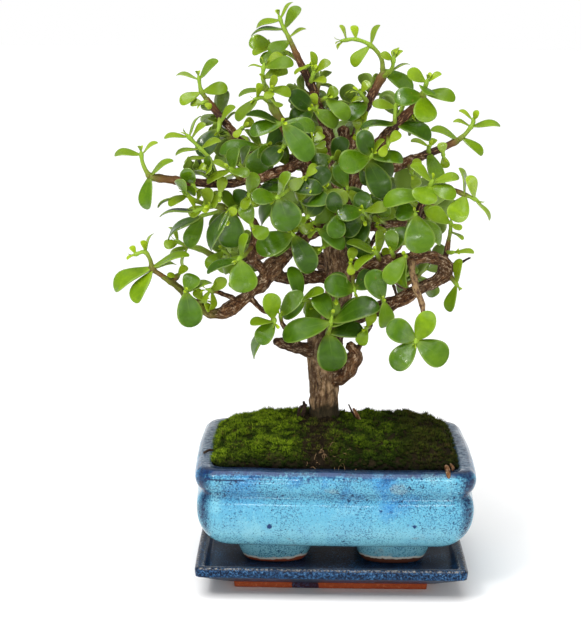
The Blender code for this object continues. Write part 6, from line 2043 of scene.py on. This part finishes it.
@dataclass
class Wood:
    """The trunk with every woody limb, fused and barked."""

    sides: int = 14
    voxel: float = 0.72
    step: float = 1.6
    seed: int = 4
    grain_shift: float = 97
    batch: int = 3000
    burls: tuple[tuple[str, float, float, float], ...] = (
        ("long_left", 4.1, 1.35, 4), ("long_left", 5.2, 1.25, 2.6), ("long_left", 7.2, 1.3, 3),
        ("long_left", 8.9, 1.3, 3), ("long_left", 9.6, 1.35, 2.2), ("right_low", 5.9, 1.35, 4),
        ("right_top", 5.7, 1.4, 4), ("right_top", 4.4, 1.2, 3), ("right_low", 3.2, 1.2, 3),
        ("trunk", 5, 1.08, 7), ("trunk", 8.2, 1.15, 6), ("hook", 2.2, 1.25, 3), ("low_left", 2.4, 1.3, 2.5))

    def skeleton(self) -> list[tuple[str, Rows]]:
        """Return each limb's rows, to just past where its young end starts, with its knots swollen.

        Returns:
            Each limb's name and rows.
        """
        draw = random.Random(self.seed)
        limbs = []
        for name in LIMBS:
            start = SPRAY_STARTS.get(name)
            rows = smooth_route(cut_points(limb_points(name), 0, start), self.step)
            reach = reach_along(rows)
            knot, thin = draw.uniform(3, 7), name != "trunk"
            while knot < reach[-1]:
                swell = draw.uniform(0.04, 0.22 if thin else 0.08)
                rows[:, 3] *= 1 + swell * bell(reach, knot, draw.uniform(1.2, 2.6))
                knot += draw.uniform(4, 9)
            for limb, station, grow, wide in self.burls:
                if limb == name:
                    place = limb_place(name, station)[:3]
                    rows[:, 3] *= 1 + (grow - 1) * bell(lengths(rows[:, :3] - place), 0, wide)
            if thin:
                ends = held(np.minimum(reach, reach[-1] - reach) / 8)[:, None]
                wander = stacked(*(roughness_at(rows[:, :3], 9, 50 + i, 2) for i in range(3)))
                rows[:, :3] += wander * ends * 0.8
            limbs.append((name, rows))
        return limbs

    def fused(self, limbs: list[tuple[str, Rows]], placed: Sequence[Placed]) -> bpy.types.Mesh:
        """Fuse the limbs' tubes by a voxel remesh, and smooth the steps that it leaves.

        Args:
            limbs: Each limb's name and rows.
            placed: The shoots in place.

        Returns:
            The mesh.
        """
        tubes = [tube_shape(rows, self.sides) for _, rows in limbs]
        tubes += [tube_shape(rows, 8) for rows in self.stubs(placed)]
        # Attach a piece to the root body, hide the nodes that it stands for, and report it.
        rough = make_piece("limbs", gather(tubes), [])
        remesh = rough.modifiers.new("fuse", "REMESH")
        remesh.mode = "VOXEL"
        remesh.voxel_size = self.voxel * MM
        # slot: Not used.
        smooth = rough.modifiers.new("smooth", "SMOOTH")
        smooth.factor = 0.5
        smooth.iterations = 3
        mesh = modified(rough)
        bpy.data.objects.remove(rough)
        return mesh

    def stubs(self, placed: Sequence[Placed]) -> list[Rows]:
        """Return the short woody root of each shoot that grows from old wood.

        Args:
            placed: The shoots in place.

        Returns:
            Two rows of x, y, z and radius for each.
        """
        rows = []
        for shoot in placed:
            if not on_spray(shoot.limb, shoot.station):
                base = limb_place(shoot.limb, shoot.station)[:3]
                start, radius = shoot.rows[0, :3], shoot.rows[0, 3]
                end = start - unit(start - base) * 0.5
                rows.append(np.array([[*base, radius * 1.25], [*end, radius * 1.05]]))
        return rows

    def build(self, bark: Finish, placed: Sequence[Placed]) -> None:
        """Fuse the wood, cut fissures along its grain and dress it.

        Each point of the mesh belongs to the limb whose surface is nearest. Its grain is the place
        round that limb, as two numbers, and the length along it. The bark is raised by noise that
        is stretched along the grain, in proportion to the limb's radius. The tint is how old, red
        and dead the wood is, and then how pale, or how young where that number is below 0.

        Args:
            bark: The wood's material.
            placed: The shoots in place.
        """
        limbs = self.skeleton()
        mesh = self.fused(limbs, placed)
        count = len(mesh.vertices)
        points, normals = np.zeros(count * 3), np.zeros(count * 3)
        mesh.vertices.foreach_get("co", points)
        mesh.vertices.foreach_get("normal", normals)
        points, normals = points.reshape(-1, 3) / MM, normals.reshape(-1, 3)
        rows = np.vstack([limb for _, limb in limbs])
        frames = [frames_along(limb[:, :3]) for _, limb in limbs]
        heading, side, rise = (np.vstack([frame[i] for frame in frames]) for i in range(3))
        reach = np.concatenate([reach_along(limb) + self.grain_shift * number
                                for number, (_, limb) in enumerate(limbs)])
        names = np.repeat([name for name, _ in limbs], [len(limb) for _, limb in limbs])
        looks = np.array([LIMB_LOOKS.get(name, Limb()) for name in names], float)
        outer = names == "long_left"
        looks[outer, 2] = -held((-64 - rows[outer, 0]) / 16)
        near = np.zeros(count, int)
        for start in range(0, count, self.batch):
            away = points[start:start + self.batch, None] - rows[:, :3]
            near[start:start + self.batch] = (lengths(away) - rows[:, 3]).argmin(axis=1)
        away = points - rows[near, :3]
        radius = rows[near, 3]
        grain = stacked(*((away * way[near]).sum(axis=1) for way in (side, rise, heading)))
        grain[:, 2] += reach[near]
        fissure = np.abs(roughness_at(grain * [1, 1, 0.16], 1.9, 11, 3))
        lumps = roughness_at(points, 7, 23, 2)
        rings = roughness_at(grain * [0.3, 0.3, 1], 2.4, 37, 2)
        pits = roughness_at(points, 2.6, 29, 2)
        thin = held((6.5 - radius) / 3)
        height = radius * (0.1 * (fissure - 0.35) * (1 - 0.5 * thin) + 0.06 * lumps + 0.055 * rings * thin)
        height = height + pits * 0.28 * np.clip(radius / 3, 0.3, 1)
        points = points + normals * height[:, None]
        mesh.vertices.foreach_set("co", (points * MM).ravel())
        old = held((radius - 4.6) / 3) * held((212 - points[:, 2]) / 40)
        carry(mesh, stacked(old, *looks[near].T), grain)
        mesh.shade_smooth()
        mesh.materials.clear()
        mesh.materials.append(bark)
        mesh.name = "trunk_and_limbs_bark"
        settle_piece(place_object(mesh.name, mesh), "bark", "trunk_and_limbs")


@dataclass
class Foliage:
    """Every leafy shoot and spray: its young stem, its leaves and the tiny pair at its tip."""

    stem_sides: int = 9
    stem_step: float = 1.6
    crowd_reach: float = 24
    green_limbs: tuple[str, ...] = ("rise_left", "rise_spur", "mid_left")
    seed: int = 900
    margin_angles: tuple[float, ...] = (0, 12, 35, 62, 90, 118, 145, 168, 180, 200, 235, 270, 305, 340)
    rows_along: tuple[float, ...] = (0, 0.05, 0.13, 0.24, 0.36, 0.48, 0.6, 0.71, 0.81, 0.89, 0.95, 0.985)

    def blade(self, leaf: Leaf, youth: float, chance: float, wave: float) -> Shape:
        """Make one leaf.

        Its half width follows u to a power times the root of 1 - u to another power, which is
        blunt and round at the tip and runs down to a short stalk, narrower in a young leaf. Its
        section is a flattened oval, twice as deep below the middle as above it.

        Args:
            leaf: Where it lies.
            youth: From 0 for a full leaf to 1 for one that unfolds.
            chance: A number from 0 to 1 of its own, lower where painted shade darkens a crowded shoot.
            wave: How far its margin waves, as a share of its width.

        Returns:
            The leaf. Its tint is youth, chance, 1 below and 1 at the margin, where a highlight is painted;
            its grain runs from -1 to 1 across and from 0 to 1 along.
        """
        s = np.array(self.rows_along)
        angle = np.radians(self.margin_angles)
        cosine = np.cos(angle)
        u = held((s - 0.02) / 0.98)
        rise, blunt = 0.58 + 0.35 * youth + 0.16 * chance, 2.2 + 0.5 * youth + 5 * abs(wave) * 4
        peak = (rise / (rise + blunt / 2)) ** (1 / blunt)
        top = peak ** rise * math.sqrt(1 - peak ** blunt)
        wide = u ** rise * np.sqrt(1 - u ** blunt) / top
        wide = np.sqrt(wide ** 2 + (0.1 * (1 - u)) ** 2) * leaf.width / 2
        thick = min(0.17 * leaf.width, 2.2) * (0.45 + 0.55 * np.sin(math.pi * held(s * 1.02 + 0.08)) ** 0.6)
        across = wide[:, None] * cosine
        edge = np.sin(angle)
        deep = np.where(edge > 0, 0.36, 0.64) * np.sign(edge) * np.abs(edge) ** 0.75 * thick[:, None]
        crease = -0.1 * thick[:, None] * bell(cosine, 0, 0.2) * (edge > 0)
        ripple = wave * leaf.width * np.sin(7 * s + 6 * chance)[:, None] * cosine ** 2 * np.sign(cosine)
        bend = leaf.width * (0.9 * wave * 5) * (s ** 2)[:, None]
        turn = (chance - 0.5) * 0.9 * s[:, None]
        lift = deep + crease + ripple + bend + across * np.sin(turn)
        along = np.repeat(s, len(angle))
        points = leaf_place(leaf, along, (across * np.cos(turn)).ravel(), lift.ravel())
        ends = leaf_place(leaf, np.array([0, 1]), np.zeros(2), np.array([0, bend[-1, 0]]))
        points = np.vstack([points, ends])
        below = np.tile((edge < -0.05).astype(float), len(s))
        # Painted highlight: 1 on the outermost strip of the margin, where the finish paints a pale line.
        painted_rim_highlight = np.tile(held(np.abs(cosine) * 7 - 5.9), len(s))
        tint = stacked(youth, chance, below, painted_rim_highlight)
        tint = np.vstack([tint, [youth, chance, 0.5, 0], [youth, chance, 0.5, 1]])
        grain = stacked(np.tile(cosine, len(s)), along, 0)
        grain = np.vstack([grain, [0, 0, 0], [0, 1, 0]])
        turned = np.cross(unit(leaf.tip - leaf.root), leaf.face)
        shape = Shape.rings(points, len(angle), tint, grain, 1)
        if np.dot(np.cross(turned, leaf.face), leaf.tip - leaf.root) < 0:
            shape.quads = shape.quads[:, ::-1]
            shape.triangles = shape.triangles[:, ::-1]
        return shape

    def stem(self, rows: Rows, nodes: Sequence[float], ages: tuple[float, float],
             power: float = 0.8) -> Shape:
        """Make a stem that swells where its leaves stand.

        Args:
            rows: Its rows of x, y, z and radius.
            nodes: Lengths along it where leaves stand.
            ages: Its colour's place at its root and at its tip, from 0, brown, to 1, green.
            power: The power of the share along it by which it goes from the one to the other.

        Returns:
            The stem.
        """
        route = smooth_route(rows, self.stem_step)
        reach = reach_along(route)
        for place in nodes:
            route[:, 3] *= 1 + 0.22 * bell(reach, place, 1.3)
        share = reach / reach[-1]
        age = ages[0] + (ages[1] - ages[0]) * share ** power
        return tube_shape(route, self.stem_sides, stacked(age, share, 0, 1))

    def tip_pair(self, rows: Rows, draw: random.Random) -> list[Shape]:
        """Make the tiny pair of leaves that is just opening at a shoot's tip.

        Args:
            rows: The stem's rows of x, y, z and radius.
            draw: The random draw.

        Returns:
            The two leaves.
        """
        heading = unit(rows[-1, :3] - rows[-2, :3])
        side = unit(np.cross(heading, [draw.uniform(-1, 1), draw.uniform(-1, 1), draw.uniform(-0.3, 0.3)]))
        root = rows[-1, :3] - heading * 1
        shapes = []
        for way in (-1, 1):
            axis = unit(heading + side * way * draw.uniform(0.35, 0.7))
            reach = draw.uniform(3.2, 4.8)
            shapes.append(self.blade(leaf_on(root, axis, heading, reach, 0.5), 1, draw.random(), 0))
        return shapes

    def shoot(self, placed: Placed, draw: random.Random, crowd: float) -> list[Shape]:
        """Make one shoot's stem and leaves, with painted shade that makes the leaves darker the more leaves
        there are round it.

        Args:
            placed: The shoot.
            draw: Its random draw.
            crowd: How many leaves lie near its tip.

        Returns:
            Its stem, its leaves and the pair at its tip.
        """
        # Painted shade: the more leaves lie round the tip, the lower the leaves' number and the darker their
        # green, in place of the shade inside the crown.
        shade_and_tone = np.clip(0.6 - (crowd - 5) * 0.036, 0.06, 0.6)
        rows = placed.rows
        bud = rows[-1, :3] + unit(rows[-1, :3] - rows[-2, :3]) * BUD_LENGTH
        rows = np.vstack([rows, [*bud, BUD_RADIUS]])
        young = on_spray(placed.limb, placed.station)
        if not young:
            base = limb_place(placed.limb, placed.station)[:3]
            root = base + (rows[0, :3] - base) * 0.35
            rows = np.vstack([[*root, rows[0, 3]], rows])
        length = reach_along(rows)[-1]
        fine = smooth_route(rows, 0.5)[:, :3]
        nodes = [lengths(fine - leaf.root).argmin() * 0.5 for leaf in placed.leaves]
        shapes = [self.stem(rows, [node for node in nodes if node < length], (0.62 if young else 0.3, 0.95))]
        for leaf in placed.leaves:
            youth = float(np.clip((10 - leaf.width) / 7 + draw.uniform(-0.12, 0.12), 0, 0.95))
            chance = shade_and_tone + draw.uniform(-0.18, 0.38)
            shapes.append(self.blade(leaf, youth, chance, draw.uniform(-0.035, 0.035)))
        return shapes + self.tip_pair(rows, draw)

    def limb_end(self, name: str) -> Shape:
        """Make the young outer end of a limb, browner towards the wood.

        Args:
            name: The limb's name.

        Returns:
            The stem.
        """
        rows = cut_points(limb_points(name), SPRAY_STARTS[name] - 0.12)
        young = name in self.green_limbs
        return self.stem(rows, np.arange(5, reach_along(rows)[-1], 9), (0.35, 0.85) if young else (0, 0.66),
                         0.8 if young else 3)

    def build(self, stem: Finish, skin: Finish, shoots: Sequence[Placed]) -> None:
        """Make one piece for each node of the foliage, and for each batch of extra shoots.

        Args:
            stem: The stems' material.
            skin: The leaves' material.
            shoots: The shoots in place.
        """
        groups: dict[str, list[Shape]] = {f"spray_{name}": [self.limb_end(name)] for name in SPRAY_STARTS}
        middles = np.array([(leaf.root + leaf.tip) / 2 for placed in shoots for leaf in placed.leaves])
        for number, placed in enumerate(shoots):
            draw = random.Random(self.seed + number)
            near = lengths(middles - placed.rows[-1, :3]) < self.crowd_reach
            groups.setdefault(placed.node, []).extend(self.shoot(placed, draw, float(near.sum())))
        for node, shapes in groups.items():
            nodes = [] if node.startswith("extra") else [node]
            settle_piece(make_piece(f"{node}_leaves", gather(shapes), [stem, skin]), "leaf_green", *nodes)


@dataclass
class Studio:
    """The pale floor, the soft lights and the camera at the picture's place."""

    focal: float = 1567
    frame: tuple[int, int] = (581, 640)
    down: float = 11.3
    roll: float = 0.56
    yaw: float = -0.64
    floor_reach: float = 60
    wall_reach: float = 12
    wall_top: float = 2.4

    def camera(self) -> None:
        """Stand the camera at the eye, turned by yaw, then down, then roll."""
        down, roll, yaw = (math.radians(angle) for angle in (self.down, self.roll, self.yaw))
        ahead = np.array([math.sin(yaw) * math.cos(down), math.cos(yaw) * math.cos(down), -math.sin(down)])
        level = np.array([math.cos(yaw), -math.sin(yaw), 0])
        above = np.cross(level, ahead)
        right = math.cos(roll) * level + math.sin(roll) * above
        up = -math.sin(roll) * level + math.cos(roll) * above
        lens = bpy.data.cameras.new("camera")
        lens.sensor_fit = "VERTICAL"
        lens.sensor_height = 36
        lens.lens = self.focal / self.frame[1] * 36
        lens.clip_start = 0.01
        stand = place_object("camera", lens)
        axes = Matrix((right, up, -ahead)).transposed().to_4x4()
        axes.translation = EYE * MM
        stand.matrix_world = axes
        bpy.context.scene.camera = stand

    def light(self, name: str, place: Colour, size: float, power: float, colour: Colour,
              height: Optional[float] = None) -> None:
        """Hang a square or, with a height, oblong soft light that faces the plant's middle.

        Args:
            name: Its name.
            place: Where it hangs, in metres.
            size: Its width.
            power: Its watts.
            colour: Its colour.
            height: Its height, or None for a square.
        """
        lamp = bpy.data.lights.new(name, "AREA")
        lamp.shape = "RECTANGLE"
        lamp.size = size
        lamp.size_y = height or size
        lamp.energy = power
        lamp.color = colour
        stand = place_object(name, lamp)
        stand.location = place
        stand.rotation_euler = (Vector(place) - Vector((0, 0, 0.12))).to_track_quat("Z", "Y").to_euler()

    def sun(self, name: str, way: Colour, spread: float, power: float) -> None:
        """Shine a wide soft light from a direction, evenly over the whole floor.

        Args:
            name: Its name.
            way: The direction that it comes from.
            spread: Its softness in degrees.
            power: Its strength.
        """
        lamp = bpy.data.lights.new(name, "SUN")
        lamp.angle = math.radians(spread)
        lamp.energy = power
        place_object(name, lamp).rotation_euler = Vector(way).to_track_quat("Z", "Y").to_euler()

    def build(self) -> None:
        """Lay the floor, light it and set the camera."""
        p = Painter("white_floor")
        white = p.finished(Base_Color=(0.93, 0.93, 0.93), Roughness=0.9, Specular_IOR_Level=0.1)
        corners = np.array([[-1, -1], [1, -1], [1, 1], [-1, 1]]) * self.floor_reach / MM
        floor = make_piece("floor", Shape(stacked(*corners.T, -0.4), np.array([[0, 1, 2, 3]])), [white])
        glow = Painter("white_backdrop").finished(Base_Color=(0, 0, 0), Roughness=1, Specular_IOR_Level=0,
                                                  Emission_Color=(1, 1, 1), Emission_Strength=1)
        ring = around(math.tau * np.arange(96) / 96) * self.wall_reach / MM
        wall = np.vstack([ring - [0, 0, 400], ring + [0, 0, self.wall_top / MM]])
        backdrop = make_piece("backdrop", Shape(wall, grid_faces(2, 96)[:, ::-1]), [glow])
        backdrop.visible_shadow = False
        world = bpy.data.worlds.new("studio")
        world.use_nodes = True
        shine = world.node_tree.nodes["Background"].inputs
        shine["Color"].default_value = (1, 1, 1, 1)
        shine["Strength"].default_value = 0.46
        bpy.context.scene.world = world
        bpy.context.scene.view_settings.view_transform = "Standard"
        self.sun("soft_sky", (-0.2, -0.34, 1), 50, 2.5)
        self.light("key", (-0.55, -0.85, 0.95), 0.22, 4.6, (1, 0.98, 0.95))
        self.light("gloss", (0.3, -1.35, 0.62), 0.16, 1.5, (1, 1, 1))
        self.light("strip", (-0.117, -1.5, 0.42), 0.29, 2.8, (1, 1, 1), 0.03)
        self.light("fill", (0.95, -0.75, 0.55), 0.5, 1.5, (0.95, 0.98, 1))
        self.camera()


def main() -> None:
    """Build every piece in turn round the loaded frame."""
    logging.basicConfig(level=logging.INFO, format="%(name)s: %(message)s")
    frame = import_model()
    Studio().build()
    Saucer().build(SaucerGlaze().material())
    Pot().build(PotGlaze().material())
    bark = Bark().material()
    SoilBed().build(Earth().material(), MossGreen().material(), bark)
    room = Room()
    shoots = place_shoots(room)
    shoots += place_extras(room)
    LOG.info("%d leaves on %d shoots", sum(len(shoot.leaves) for shoot in shoots), len(shoots))
    Wood().build(bark, shoots)
    Foliage().build(YoungStem().material(), LeafSkin().material(), shoots)
    plastic = Painter("black_plastic")
    plastic.relief(plastic.noise(900), 0.2, 0.1)
    black = plastic.finished(Base_Color=(0.02, 0.02, 0.02), Roughness=0.6)
    for name in ("drain_screen_left", "drain_screen_right"):
        frame["nodes"][name].data.materials.clear()
        frame["nodes"][name].data.materials.append(black)


if __name__ == "__main__":
    main()
